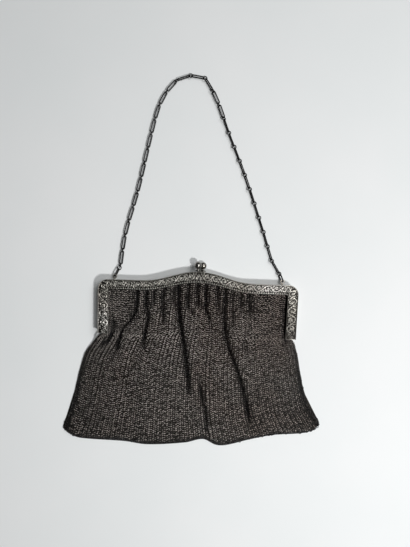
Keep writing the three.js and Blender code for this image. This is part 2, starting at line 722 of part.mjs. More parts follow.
// A closed body with a net for its top and a flat floor. Its edge runs down to the floor, which
// is drawn in from a closed edge by the chamfer.
function pillow(outwards, inwards, chamfer, floor, height) {
  const columns = bagColumns();
  const rows = bagRows();
  const [lastColumn, lastRow] = [columns.length - 1, rows.length - 1];
  const corners = [];
  rows.forEach((row) => columns.forEach((column) => {
    const [x, y] = bagPlace(column, row, outwards, inwards);
    corners.push([x, y, height(x, y, column, row)]);
  }));
  const at = (i, j) => j * columns.length + i;
  const faces = [];
  const quad = (a, b, c, d) => faces.push(a, b, c, a, c, d);
  for (let j = 0; j < lastRow; j += 1) {
    for (let i = 0; i < lastColumn; i += 1) {
      quad(at(i, j), at(i, j + 1), at(i + 1, j + 1), at(i + 1, j));
    }
  }
  const edge = [];
  for (let j = 0; j < lastRow; j += 1) edge.push([0, j]);
  for (let i = 0; i < lastColumn; i += 1) edge.push([i, lastRow]);
  for (let j = lastRow; j > 0; j -= 1) edge.push([lastColumn, j]);
  for (let i = lastColumn; i > 0; i -= 1) edge.push([i, 0]);
  const below = edge.map(([i, j]) => {
    const [x, y] = bagPlace(columns[i], rows[j], outwards, inwards + chamfer);
    return corners.push([x, y, floor]) - 1;
  });
  // The diagonals run alike at both sides, from the floor where they are open to a closed rim
  edge.forEach(([i, j], step) => {
    const next = (step + 1) % edge.length;
    const [rim, nextRim] = [at(i, j), at(...edge[next])];
    if (step < lastRow) quad(below[step], below[next], nextRim, rim);
    else quad(rim, below[step], below[next], nextRim);
  });
  const outline = below.map((corner) => new THREE.Vector2(corners[corner][0], corners[corner][1]));
  THREE.ShapeUtils.triangulateShape(outline, []).forEach(([a, b, c]) => {
    faces.push(below[c], below[b], below[a]);
  });
  const geometry = new THREE.BufferGeometry();
  geometry.setAttribute('position', new THREE.Float32BufferAttribute(corners.flat(), 3));
  geometry.setIndex(faces);
  return toSolid(geometry);
}

// The pouch: its outside less the hollow, which runs out past the mouth and the open sides. The
// back mesh is lifted behind the frame's back plate and comes down just inside the frame.
function meshBag() {
  const outside = pillow(0, 0, bagEdgeRise, 0, (x, y, column, row) => (
    THREE.MathUtils.lerp(bagEdgeRise, frontHeight(x, y, row), edgeShare(column, row))
  ));
  const hollow = pillow(overrun, meshThickness, 0, meshThickness, (x, y, column, row) => (
    THREE.MathUtils.lerp(
      meshThickness, frontHeight(x, y, row) - meshThickness, edgeShare(column, row),
    )
  ));
  const underBack = plate(
    frameOutline(-overrun, -bagDropIn, -bagDropIn), -overrun, meshBottom,
  );
  const reach = bagDropIn + meshThickness;
  const overBack = plate(
    frameOutline(-overrun, -reach, -reach), 0, meshBottom + meshThickness,
  );
  return outside.subtract(underBack).subtract(hollow.subtract(overBack));
}

// Assembly
const frontKnobX = claspOffset - knobSpacing / 2;
const backKnobX = claspOffset + knobSpacing / 2;
const frontKnobRoot = frameThickness - knobRootInset;
const backKnobRoot = knobRootInset;

function frontFrameHalf() {
  const lift = frameThickness - halfThickness;
  let half = frameHalf().subtract(reliefCut()).translate([0, 0, lift]);
  half = half.subtract(knobHole(frontKnobX, frontKnobRoot));
  for (const hand of [-1, 1]) {
    half = half.subtract(earNotch(hand)).add(hingeEar(hand, innerEarFace, frontFaceBack + sink));
    half = half.subtract(hingeHole(hand));
  }
  return half;
}

function backFrameHalf() {
  let half = frameHalf().mirror([0, 0, 1]).translate([0, 0, halfThickness]);
  half = half.subtract(knobHole(backKnobX, backKnobRoot));
  for (const hand of [-1, 1]) {
    half = half.add(hingeEar(hand, outerEarFace, parting - earRadius - gap));
    half = half.subtract(hingeHole(hand)).add(chainEye(hand));
  }
  return half;
}

const purse = new THREE.Group();
purse.add(
  toMesh('front_frame_half', frontFrameHalf(), silver),
  toMesh('back_frame_half', backFrameHalf(), silverBack),
  toMesh('left_hinge_pin', hingePin(-1), pinSilver),
  toMesh('right_hinge_pin', hingePin(1), pinSilver),
  toMesh('front_kiss_knob', kissKnob(frontKnobX, frontKnobRoot, -frontKnobLean), knobSilver),
  toMesh('back_kiss_knob', kissKnob(backKnobX, backKnobRoot, backKnobLean), knobSilver),
  toMesh('mesh_bag', meshBag(), meshMetal),
  toMesh('carrying_chain', carryingChain(), darkSteel),
);

export default purse;
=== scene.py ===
"""Metal mesh purse lying flat on a pale surface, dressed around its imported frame.

Lengths in this file are millimetres until a mesh is made, and the axes are the frame's own:
+X along the clasp frame, +Y towards the chain and +Z up from the surface.
"""

import logging
import math
from dataclasses import dataclass, field, fields
from enum import Enum

import bpy
import numpy as np
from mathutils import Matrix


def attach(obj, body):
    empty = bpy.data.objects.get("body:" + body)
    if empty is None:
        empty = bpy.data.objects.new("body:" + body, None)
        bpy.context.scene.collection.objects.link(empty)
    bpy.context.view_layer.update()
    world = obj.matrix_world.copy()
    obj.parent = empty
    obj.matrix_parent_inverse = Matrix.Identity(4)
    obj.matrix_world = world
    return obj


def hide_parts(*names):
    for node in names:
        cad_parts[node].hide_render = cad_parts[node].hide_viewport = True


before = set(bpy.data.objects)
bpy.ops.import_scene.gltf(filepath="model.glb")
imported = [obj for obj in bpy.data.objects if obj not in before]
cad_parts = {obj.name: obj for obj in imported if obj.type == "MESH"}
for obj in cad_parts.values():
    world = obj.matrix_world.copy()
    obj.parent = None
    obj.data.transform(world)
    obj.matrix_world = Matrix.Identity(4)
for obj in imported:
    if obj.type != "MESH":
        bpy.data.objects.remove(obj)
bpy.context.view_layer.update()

Array = np.ndarray
Colour = tuple[float, float, float, float]
MM = 0.001
ROOT = "root"
log = logging.getLogger("purse")


class Side(Enum):
    """The two ends of the clasp frame, as the sign of X."""

    LEFT = -1
    RIGHT = 1


# Arithmetic on whole arrays


def smooth(share: Array) -> Array:
    """Eases a share from 0 to 1: three times its square less twice its cube, held at both ends."""
    held = np.clip(share, 0, 1)
    return held * held * (3 - 2 * held)


def unit(vectors: Array) -> Array:
    """Divides each vector by its length."""
    return vectors / np.maximum(np.linalg.norm(vectors, axis=-1, keepdims=True), 1e-12)


def table_curve(keys: Array, values: Array, at: Array) -> Array:
    """A smooth curve through a table's rows.

    Between two rows it is a cubic whose slope at each row is that from the row before to the
    row after.

    Args:
        keys: The table's first column, rising.
        values: The column that is wanted.
        at: Where in the first column.

    Returns:
        The value at each place.
    """
    last = len(keys) - 1
    i = np.clip(np.searchsorted(keys, at, side="left") - 1, 0, last - 1)
    before = np.maximum(i - 1, 0)
    after = np.minimum(i + 2, last)
    step = keys[i + 1] - keys[i]
    share = np.clip((at - keys[i]) / step, 0, 1)
    start_slope = (values[i + 1] - values[before]) / (keys[i + 1] - keys[before]) * step
    end_slope = (values[after] - values[i]) / (keys[after] - keys[i]) * step
    square = share**2
    cube = share**3
    return (
        values[i] * (2 * cube - 3 * square + 1)
        + start_slope * (cube - 2 * square + share)
        + values[i + 1] * (3 * square - 2 * cube)
        + end_slope * (cube - square)
    )


def table_columns(rows: tuple) -> dict[str, Array]:
    """A table's columns by name, from its rows, which are dataclasses of one kind."""
    names = [column.name for column in fields(rows[0])]
    return {name: np.array([getattr(row, name) for row in rows]) for name in names}


def evenly_spaced(lines: Array, count: int, height_share: float = 1.0) -> Array:
    """Places at equal steps of length along many lines at once.

    The running length of each line, as a share, is shifted by twice the line's number, so that
    one interpolation serves all the lines.

    Args:
        lines: Points of each line, lines by points by axes.
        count: How many places each line gets, its two ends included.
        height_share: How much a rise or fall counts towards the length.

    Returns:
        The places, lines by count by axes.
    """
    steps = np.linalg.norm(np.diff(lines, axis=1) * [1, 1, height_share], axis=2)
    run = np.pad(np.cumsum(steps, axis=1), ((0, 0), (1, 0)))
    shift = 2 * np.arange(len(lines))[:, None]
    known = (run / run[:, -1:] + shift).ravel()
    wanted = (np.linspace(0, 1, count)[None, :] + shift).ravel()
    placed = [np.interp(wanted, known, lines[..., axis].ravel()) for axis in range(3)]
    return np.stack(placed, axis=-1).reshape(len(lines), count, 3)


# Meshes


@dataclass
class Shell:
    """A mesh in the making.

    Attributes:
        points: Places of the corners in millimetres, one row each.
        faces: Arrays of corner numbers, one array for each number of corners in a face.
        values: Named numbers at the corners, which the materials read.
    """

    points: Array
    faces: list[Array]
    values: dict[str, Array] = field(default_factory=dict)

    def triangles(self) -> int:
        """Counts the triangles that the faces make."""
        return sum(len(group) * (group.shape[1] - 2) for group in self.faces)


def join_shells(shells: list[Shell]) -> Shell:
    """Puts several shells that have no named numbers into one.

    Args:
        shells: The shells, whose corners are numbered from 0 in each.

    Returns:
        One shell with all their corners and faces.
    """
    starts = np.cumsum([0] + [len(shell.points) for shell in shells])
    faces = [group + start for shell, start in zip(shells, starts) for group in shell.faces]
    return Shell(np.concatenate([shell.points for shell in shells]), faces)


def grid_faces(rows: int, columns: int, loop_rows: bool, loop_columns: bool) -> Array:
    """Four-cornered faces of a grid whose corners are numbered row by row.

    Args:
        rows: Rows of corners.
        columns: Corners in a row.
        loop_rows: Whether the last row joins the first.
        loop_columns: Whether each row's last corner joins its first.

    Returns:
        Corner numbers, a face to a row.
    """
    down = np.arange(rows if loop_rows else rows - 1)[:, None]
    along = np.arange(columns if loop_columns else columns - 1)[None, :]
    next_down = (down + 1) % rows
    next_along = (along + 1) % columns
    corners = [
        down * columns + along,
        down * columns + next_along,
        next_down * columns + next_along,
        next_down * columns + along,
    ]
    return np.stack([np.broadcast_to(c, corners[0].shape).ravel() for c in corners], axis=1)


def capped(grid: Array, values: dict[str, Array] | None = None) -> Shell:
    """A tube whose rows are rings of corners, closed at both ends with a flat face.

    Args:
        grid: Places, rings by corners by axes. Seen from its start, each ring turns to the right.
        values: Named numbers at the corners, rings by corners.

    Returns:
        The closed shell.
    """
    rings, corners = grid.shape[:2]
    first = np.arange(corners)[None, :]
    last = ((rings - 1) * corners + np.arange(corners))[None, ::-1]
    named = {name: value.ravel() for name, value in (values or {}).items()}
    faces = [grid_faces(rings, corners, False, True)[:, ::-1], first, last]
    return Shell(grid.reshape(-1, 3), faces, named)


def make_mesh(name: str, shell: Shell) -> bpy.types.Object:
    """Puts a shell into the scene as an object at the origin.

    Args:
        name: The object's name.
        shell: Its corners, faces and values.

    Returns:
        The new object. Its faces are smooth, apart from caps, which have over four corners.
    """
    mesh = bpy.data.meshes.new(name)
    mesh.vertices.add(len(shell.points))
    mesh.vertices.foreach_set("co", (shell.points * MM).astype(np.float32).ravel())
    corners = np.concatenate([group.ravel() for group in shell.faces])
    sizes = np.concatenate([np.full(len(group), group.shape[1]) for group in shell.faces])
    mesh.loops.add(len(corners))
    mesh.loops.foreach_set("vertex_index", corners.astype(np.int32))
    mesh.polygons.add(len(sizes))
    mesh.polygons.foreach_set("loop_start", (np.cumsum(sizes) - sizes).astype(np.int32))
    mesh.polygons.foreach_set("use_smooth", sizes <= 4)
    for key, value in shell.values.items():
        attribute = mesh.attributes.new(key, "FLOAT", "POINT")
        attribute.data.foreach_set("value", value.astype(np.float32))
    mesh.update(calc_edges=True)
    mesh.validate()
    made = bpy.data.objects.new(name, mesh)
    bpy.context.scene.collection.objects.link(made)
    return made


def add_piece(
    name: str, shell: Shell, material: bpy.types.Material, stands_for: list[str]
) -> bpy.types.Object:
    """Makes a piece of the purse, dresses it and fastens it to the purse's body.

    Args:
        name: The piece's name.
        shell: Its mesh.
        material: Its finish.
        stands_for: The nodes that it replaces.

    Returns:
        The piece.
    """
    piece = make_mesh(name, shell)
    piece.data.materials.append(material)
    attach(piece, ROOT)
    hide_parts(*stands_for)
    log.info("%s: %d triangles", name, shell.triangles())
    return piece


# Finishes


class Nodes:
    """Adds nodes to one tree and joins their sockets."""

    def __init__(self, tree: bpy.types.NodeTree) -> None:
        """Keeps the tree that the nodes go into."""
        self.tree = tree

    def add(self, kind: str, **inputs: object) -> bpy.types.Node:
        """Adds a node and sets or joins its inputs.

        Args:
            kind: The node's type.
            **inputs: For each input, named with underscores for spaces, a value or the socket
                that feeds it.

        Returns:
            The new node.
        """
        node = self.tree.nodes.new(kind)
        for key, value in inputs.items():
            self.feed(node.inputs[key.replace("_", " ")], value)
        return node

    def feed(self, socket: bpy.types.NodeSocket, value: object) -> None:
        """Joins a socket to another, or sets its value.

        Args:
            socket: The input.
            value: The socket that feeds it, or the value that it gets.
        """
        if isinstance(value, bpy.types.NodeSocket):
            self.tree.links.new(value, socket)
        else:
            socket.default_value = value

    def noise(self, scale: object, detail: float, place: object) -> bpy.types.NodeSocket:
        """Adds a noise texture and gives its value's socket."""
        return self.add("ShaderNodeTexNoise", Vector=place, Scale=scale, Detail=detail).outputs[0]

    def ramp(self, value: object, low: object, high: object) -> bpy.types.NodeSocket:
        """Adds a node that takes a value from low to high to 0 to 1, and gives its socket."""
        node = self.add("ShaderNodeMapRange", Value=value, From_Min=low, From_Max=high)
        return node.outputs["Result"]

    def scaled(self, value: object, low: float, high: float) -> bpy.types.NodeSocket:
        """Adds a node that takes a share to a value from low to high, and gives its socket."""
        node = self.add("ShaderNodeMapRange", Value=value, To_Min=low, To_Max=high)
        return node.outputs["Result"]

    def mix(self, share: object, one: object, other: object) -> bpy.types.NodeSocket:
        """Adds a mix of two colours.

        Args:
            share: How much of the other colour, from 0 to 1.
            one: The first colour.
            other: The other one.

        Returns:
            The mixed colour's socket.
        """
        node = self.tree.nodes.new("ShaderNodeMix")
        node.data_type = "RGBA"
        colours = [socket for socket in node.inputs if socket.type == "RGBA"]
        self.feed(node.inputs[0], share)
        self.feed(colours[0], one)
        self.feed(colours[1], other)
        return next(socket for socket in node.outputs if socket.type == "RGBA")

    def value(self, name: str) -> bpy.types.NodeSocket:
        """Adds a node that reads a number at the corners.

        Args:
            name: The number's name.

        Returns:
            The number's socket.
        """
        node = self.tree.nodes.new("ShaderNodeAttribute")
        node.attribute_name = name
        return node.outputs["Fac"]

    def math(self, operation: str, one: object, other: object) -> bpy.types.NodeSocket:
        """Adds a sum, product or the like.

        Args:
            operation: Its name.
            one: The first number.
            other: The other one.

        Returns:
            The result's socket.
        """
        node = self.tree.nodes.new("ShaderNodeMath")
        node.operation = operation
        self.feed(node.inputs[0], one)
        self.feed(node.inputs[1], other)
        return node.outputs[0]


def new_group(
    name: str, inputs: dict[str, str], outputs: dict[str, str]
) -> tuple[bpy.types.NodeTree, bpy.types.Node, bpy.types.Node]:
    """Starts a node group with named sockets.

    Args:
        name: The group's name.
        inputs: For each input, its socket type.
        outputs: For each output, its socket type.

    Returns:
        The group, its input node and its output node.
    """
    group = bpy.data.node_groups.new(name, "ShaderNodeTree")
    for key, kind in inputs.items():
        group.interface.new_socket(key, in_out="INPUT", socket_type=kind)
    for key, kind in outputs.items():
        group.interface.new_socket(key, in_out="OUTPUT", socket_type=kind)
    return group, group.nodes.new("NodeGroupInput"), group.nodes.new("NodeGroupOutput")


def tarnish_group() -> bpy.types.NodeTree:
    """Builds the shared effect of tarnish: blotches, a fine grain and a warm cast.

    Blotches are the ramp of a noise, the grain is a finer noise, and the warm cast is a third,
    slower noise. The colour is the clean one, mixed towards the tarnished one by the blotches
    and then towards the warm one by the cast.

    Returns:
        The node group.
    """
    grain_times, cast_times, grain_share = 9.0, 0.4, 0.35
    mask_span, cast_span = (0.55, 0.95), (0.45, 0.68)
    number, colour = "NodeSocketFloat", "NodeSocketColor"
    group, given, result = new_group(
        "tarnish",
        {"Clean": colour, "Tarnished": colour, "Warm": colour, "Scale": number, "Reach": number,
         "Warmth": number},
        {"Color": colour, "Mask": number, "Grain": number},
    )
    nodes = Nodes(group)
    place = group.nodes.new("ShaderNodeTexCoord").outputs["Object"]
    blotch = nodes.noise(given.outputs["Scale"], 6.0, place)
    fine = nodes.noise(nodes.math("MULTIPLY", given.outputs["Scale"], grain_times), 4.0, place)
    slow = nodes.noise(nodes.math("MULTIPLY", given.outputs["Scale"], cast_times), 3.0, place)
    joined = nodes.math("ADD", blotch, nodes.math("MULTIPLY", fine, grain_share))
    mask = nodes.ramp(nodes.math("ADD", joined, given.outputs["Reach"]), *mask_span)
    cast = nodes.math("MULTIPLY", nodes.ramp(slow, *cast_span), given.outputs["Warmth"])
    metal = nodes.mix(mask, given.outputs["Clean"], given.outputs["Tarnished"])
    nodes.feed(result.inputs["Color"], nodes.mix(cast, metal, given.outputs["Warm"]))
    nodes.feed(result.inputs["Mask"], mask)
    nodes.feed(result.inputs["Grain"], fine)
    return group


@dataclass(frozen=True)
class Metal:
    """A metal finish with tarnish, and dark recesses where a piece has them.

    Attributes:
        name: The material's name.
        clean: Colour where the metal is clean and bright.
        tarnished: Colour where it is tarnished.
        warm: Colour of the warm cast.
        roughness: Lowest and highest roughness.
        scale: Tarnish blotches to the metre.
        reach: How far the tarnish spreads, from about -0.3 to 0.3.
        warmth: How strong the warm cast is.
        recess: Colour of recesses, or None where the piece has no value named height.
        polished: Colour of a painted highlight, where the piece's value named polish is 1.
        recess_span: The heights between which a recess turns into a raised part.
        metallic: How metallic it is. Thick tarnish makes a surface partly matte.
        tone: How much the value named tone darkens the colour towards the tarnished one.
        The value is painted shade on a ring wire's lower side, and it is low where the
        wire has a painted highlight and some wear. It also varies at random and paints
        shade on every other pulled line.
        deep: Colour of painted shade in folds, near the closed edges and towards the sides,
        where the value named shade is 1.
        recess_rough: How much rougher a recess is than a raised part.
        grain_strength: Strength of the fine grain's bumps.
        grain_height: Height of the bumps in metres.
    """

    name: str
    clean: Colour
    tarnished: Colour
    warm: Colour
    roughness: tuple[float, float]
    scale: float = 60.0
    reach: float = 0.0
    warmth: float = 0.4
    metallic: float = 1.0
    recess: Colour | None = None
    recess_span: tuple[float, float] = (0.0, 0.55)
    polished: Colour = (0.95, 0.94, 0.9, 1.0)
    tone: float = 0.0
    deep: Colour = (0.005, 0.005, 0.006, 1.0)
    recess_rough: float = 0.25
    grain_strength: float = 0.25
    grain_height: float = 0.00008

    def material(self, tarnish: bpy.types.NodeTree) -> bpy.types.Material:
        """Builds the material.

        Args:
            tarnish: The shared tarnish group.

        Returns:
            The material, ready for a piece.
        """
        made = bpy.data.materials.new(self.name)
        made.use_nodes = True
        nodes = Nodes(made.node_tree)
        shader = made.node_tree.nodes["Principled BSDF"]
        shader.inputs["Metallic"].default_value = self.metallic
        effect = made.node_tree.nodes.new("ShaderNodeGroup")
        effect.node_tree = tarnish
        effect.inputs["Clean"].default_value = self.clean
        effect.inputs["Tarnished"].default_value = self.tarnished
        effect.inputs["Warm"].default_value = self.warm
        effect.inputs["Scale"].default_value = self.scale
        effect.inputs["Reach"].default_value = self.reach
        effect.inputs["Warmth"].default_value = self.warmth
        colour = effect.outputs["Color"]
        rough = nodes.scaled(effect.outputs["Mask"], *self.roughness)
        if self.tone:
            # Painted highlight and painted shade on each ring wire, from the value named tone.
            dim = nodes.math("MULTIPLY", nodes.value("tone"), self.tone)
            colour = nodes.mix(dim, colour, self.tarnished)
            # Painted shade in folds, near the closed edges and towards the sides, from the value
            # named shade.
            colour = nodes.mix(nodes.value("shade"), colour, self.deep)
        if self.recess:
            # Painted highlight on the frame's brighter stretches; painted shade on the darker ones
            # has already lowered the value named height.
            colour = nodes.mix(nodes.value("polish"), colour, self.polished)
            raised = nodes.ramp(nodes.value("height"), *self.recess_span)
            colour = nodes.mix(raised, self.recess, colour)
            rough = nodes.math("ADD", rough, nodes.scaled(raised, self.recess_rough, 0.0))
        nodes.feed(shader.inputs["Base Color"], colour)
        nodes.feed(shader.inputs["Roughness"], rough)
        bump = nodes.add("ShaderNodeBump", Height=effect.outputs["Grain"])
        bump.inputs["Strength"].default_value = self.grain_strength
        bump.inputs["Distance"].default_value = self.grain_height
        nodes.feed(shader.inputs["Normal"], bump.outputs["Normal"])
        return made


def grey(level: float, red: float = 0.0, blue: float = 0.0) -> Colour:
    """A grey with a little more or less red and blue."""
    return (level * (1 + red), level, level * (1 + blue), 1.0)


class Finishes:
    """All the purse's materials."""

    def __init__(self) -> None:
        """Builds the shared effect once and a material for each finish."""
        tarnish = tarnish_group()
        self.frame_silver = Metal(
            "frame_silver", grey(0.41, 0.03, -0.1), grey(0.25, 0.05, -0.14),
            (0.28, 0.2, 0.16, 1.0), (0.3, 0.5), scale=70, reach=-0.1,
            recess=grey(0.022, 0.1, -0.1),
        ).material(tarnish)
        self.back_silver = Metal(
            "back_silver", grey(0.5, 0.04, -0.09), grey(0.22, 0.06, -0.14),
            (0.3, 0.2, 0.15, 1.0), (0.3, 0.5), scale=70,
        ).material(tarnish)
        self.knob_silver = Metal(
            "knob_silver", grey(0.34, 0.02, -0.06), grey(0.12, 0.04, -0.1),
            (0.2, 0.15, 0.11, 1.0), (0.12, 0.3), scale=200, warmth=0.2,
        ).material(tarnish)
        self.pin_metal = Metal(
            "pin_metal", grey(0.4, 0.03, -0.08), grey(0.15, 0.05, -0.1),
            (0.25, 0.17, 0.12, 1.0), (0.35, 0.55), scale=150, warmth=0.3,
        ).material(tarnish)
        # The ring wire's colours lie far apart so that its painted highlight and shade show on
        # every ring.
        self.ring_mesh = Metal(
            "ring_mesh", grey(0.88, 0.11, -0.08), grey(0.02, 0.1, -0.1),
            (0.86, 0.7, 0.61, 1.0), (0.25, 0.4), reach=-0.3, warmth=0.7,
            metallic=0.35, tone=1.0,
        ).material(tarnish)
        # The back layer is coloured near black: painted shade, standing in for the dark gaps
        # between the front rings.
        self.back_mesh = Metal(
            "back_mesh", grey(0.05, 0.05, -0.1), grey(0.02, 0.08, -0.12),
            (0.04, 0.025, 0.02, 1.0), (0.5, 0.7), scale=26, warmth=0.6,
        ).material(tarnish)
        self.chain_metal = Metal(
            "chain_metal", grey(0.04), grey(0.012), (0.03, 0.022, 0.018, 1.0), (0.25, 0.45),
            scale=120, warmth=0.2,
        ).material(tarnish)


# Clasp frame


@dataclass
class FrameOutline:
    """The frame seen from the front: a band with a raised crest, round corners and two arms."""

    half_width: float = 75.0
    drop: float = 40.5
    band_width: float = 7.1
    arm_width: float = 7.9
    arm_taper: float = 0.9
    crest_rise: float = 7.9
    crest_swell: float = 1.1
    crest_half_width: float = 42.0
    corner_radius: float = 7.0
    inner_corner_radius: float = 1.6
    thickness: float = 10.0
    face_thickness: float = 1.0
    gap: float = 0.3

    def __post_init__(self) -> None:
        """Works out the levels that follow from the sizes."""
        self.straight_top = (self.band_width + self.crest_swell) / 2 - self.crest_rise
        self.straight_bottom = self.straight_top - self.band_width
        self.arm_end = self.straight_top - self.drop
        self.inner_half_width = self.half_width - self.arm_width

    def crest_share(self, x: Array) -> Array:
        """Height of the crest as a share: a raised cosine, 1 in the middle."""
        wave = (1 + np.cos(np.pi * x / self.crest_half_width)) / 2
        return np.where(np.abs(x) < self.crest_half_width, wave, 0)

    def upper(self, x: Array) -> Array:
        """Level of the band's upper edge."""
        return self.straight_top + self.crest_rise * self.crest_share(x)

    def lower(self, x: Array) -> Array:
        """Level of the band's lower edge."""
        return self.straight_bottom + (self.crest_rise - self.crest_swell) * self.crest_share(x)

    def lean(self, y: Array) -> Array:
        """How far the arms lean inwards at this level."""
        start = self.straight_top - self.corner_radius
        return self.arm_taper * np.clip((start - y) / (start - self.arm_end), 0, 1)

    def edges(self, step: float) -> tuple[Array, Array]:
        """The outer and the inner edge, point by point from one arm end to the other.

        Along the band both run over X. At the corner both turn through a right angle on their
        own radii, and down the arm both run over Y.

        Args:
            step: Distance between the points along the middle of the band.

        Returns:
            Points of the outer edge and the points opposite them on the inner edge.
        """
        outer_turn = self.half_width - self.corner_radius
        inner_turn = self.inner_half_width - self.inner_corner_radius
        share = np.linspace(0, 1, round(outer_turn / step), endpoint=False)
        band_outer = np.stack([outer_turn * share, self.upper(outer_turn * share)], axis=1)
        band_inner = np.stack([inner_turn * share, self.lower(inner_turn * share)], axis=1)
        middle_radius = (self.corner_radius + self.inner_corner_radius) / 2
        count = round(middle_radius * math.pi / 2 / step)
        turn = np.linspace(0, math.pi / 2, count, endpoint=False)
        round_corner = np.stack([np.sin(turn), np.cos(turn)], axis=1)
        outer_middle = [outer_turn, self.straight_top - self.corner_radius]
        inner_middle = [inner_turn, self.straight_bottom - self.inner_corner_radius]
        corner_outer = outer_middle + self.corner_radius * round_corner
        corner_inner = inner_middle + self.inner_corner_radius * round_corner
        run = outer_middle[1] - self.arm_end
        share = np.linspace(0, 1, round(run / step))
        arm_outer_y = outer_middle[1] + (self.arm_end - outer_middle[1]) * share
        arm_inner_y = inner_middle[1] + (self.arm_end - inner_middle[1]) * share
        arm_outer = np.stack([self.half_width - self.lean(arm_outer_y), arm_outer_y], axis=1)
        arm_inner = np.stack([self.inner_half_width - self.lean(arm_inner_y), arm_inner_y], axis=1)
        outer = np.concatenate([band_outer, corner_outer, arm_outer])
        inner = np.concatenate([band_inner, corner_inner, arm_inner])
        flip = np.array([-1, 1])
        return (
            np.concatenate([outer[:0:-1] * flip, outer]),
            np.concatenate([inner[:0:-1] * flip, inner]),
        )


@dataclass
class Stroke:
    """One line of the ornament.

    Attributes:
        along: Places along the band, from its middle.
        across: Places across it, from its middle towards the inner edge.
        half: Half the line's width at each place.
    """

    along: Array
    across: Array
    half: Array

    def mirrored(self) -> "Stroke":
        """The same line on the frame's other end."""
        return Stroke(-self.along, self.across, self.half)


@dataclass(frozen=True)
class LeafRow:
    """A leaf of each repeat of the ornament.

    Attributes:
        end: The end of the repeat that it is near: -1 or 1, or 0 for its middle.
        shift: How far its root is from there along the band.
        turn: The way it starts, in radians from along the band.
        bend: How far it turns on its way.
        size: Its size as a share of the named one.
    """

    end: int
    shift: float
    turn: float
    bend: float
    size: float


@dataclass(frozen=True)
class BudRow:
    """A bud of each repeat: the end that it is near, its shift from there and its side place."""

    end: int
    shift: float
    across: float


LEAVES = (
    LeafRow(-1, 0.0, 0.9, 0.9, 1.0), LeafRow(-1, 0.4, -0.7, -0.8, 0.85),
    LeafRow(1, -1.3, 1.9, -1.3, 0.9), LeafRow(1, -0.9, -1.2, 0.9, 0.8),
    LeafRow(0, -1.3, 2.5, -0.8, 0.6), LeafRow(0, 1.1, 0.7, 0.8, 0.6),
)

BUDS = (BudRow(1, 0.0, 1.9), BudRow(1, -0.8, -2.1), BudRow(-1, 0.7, 2.1))


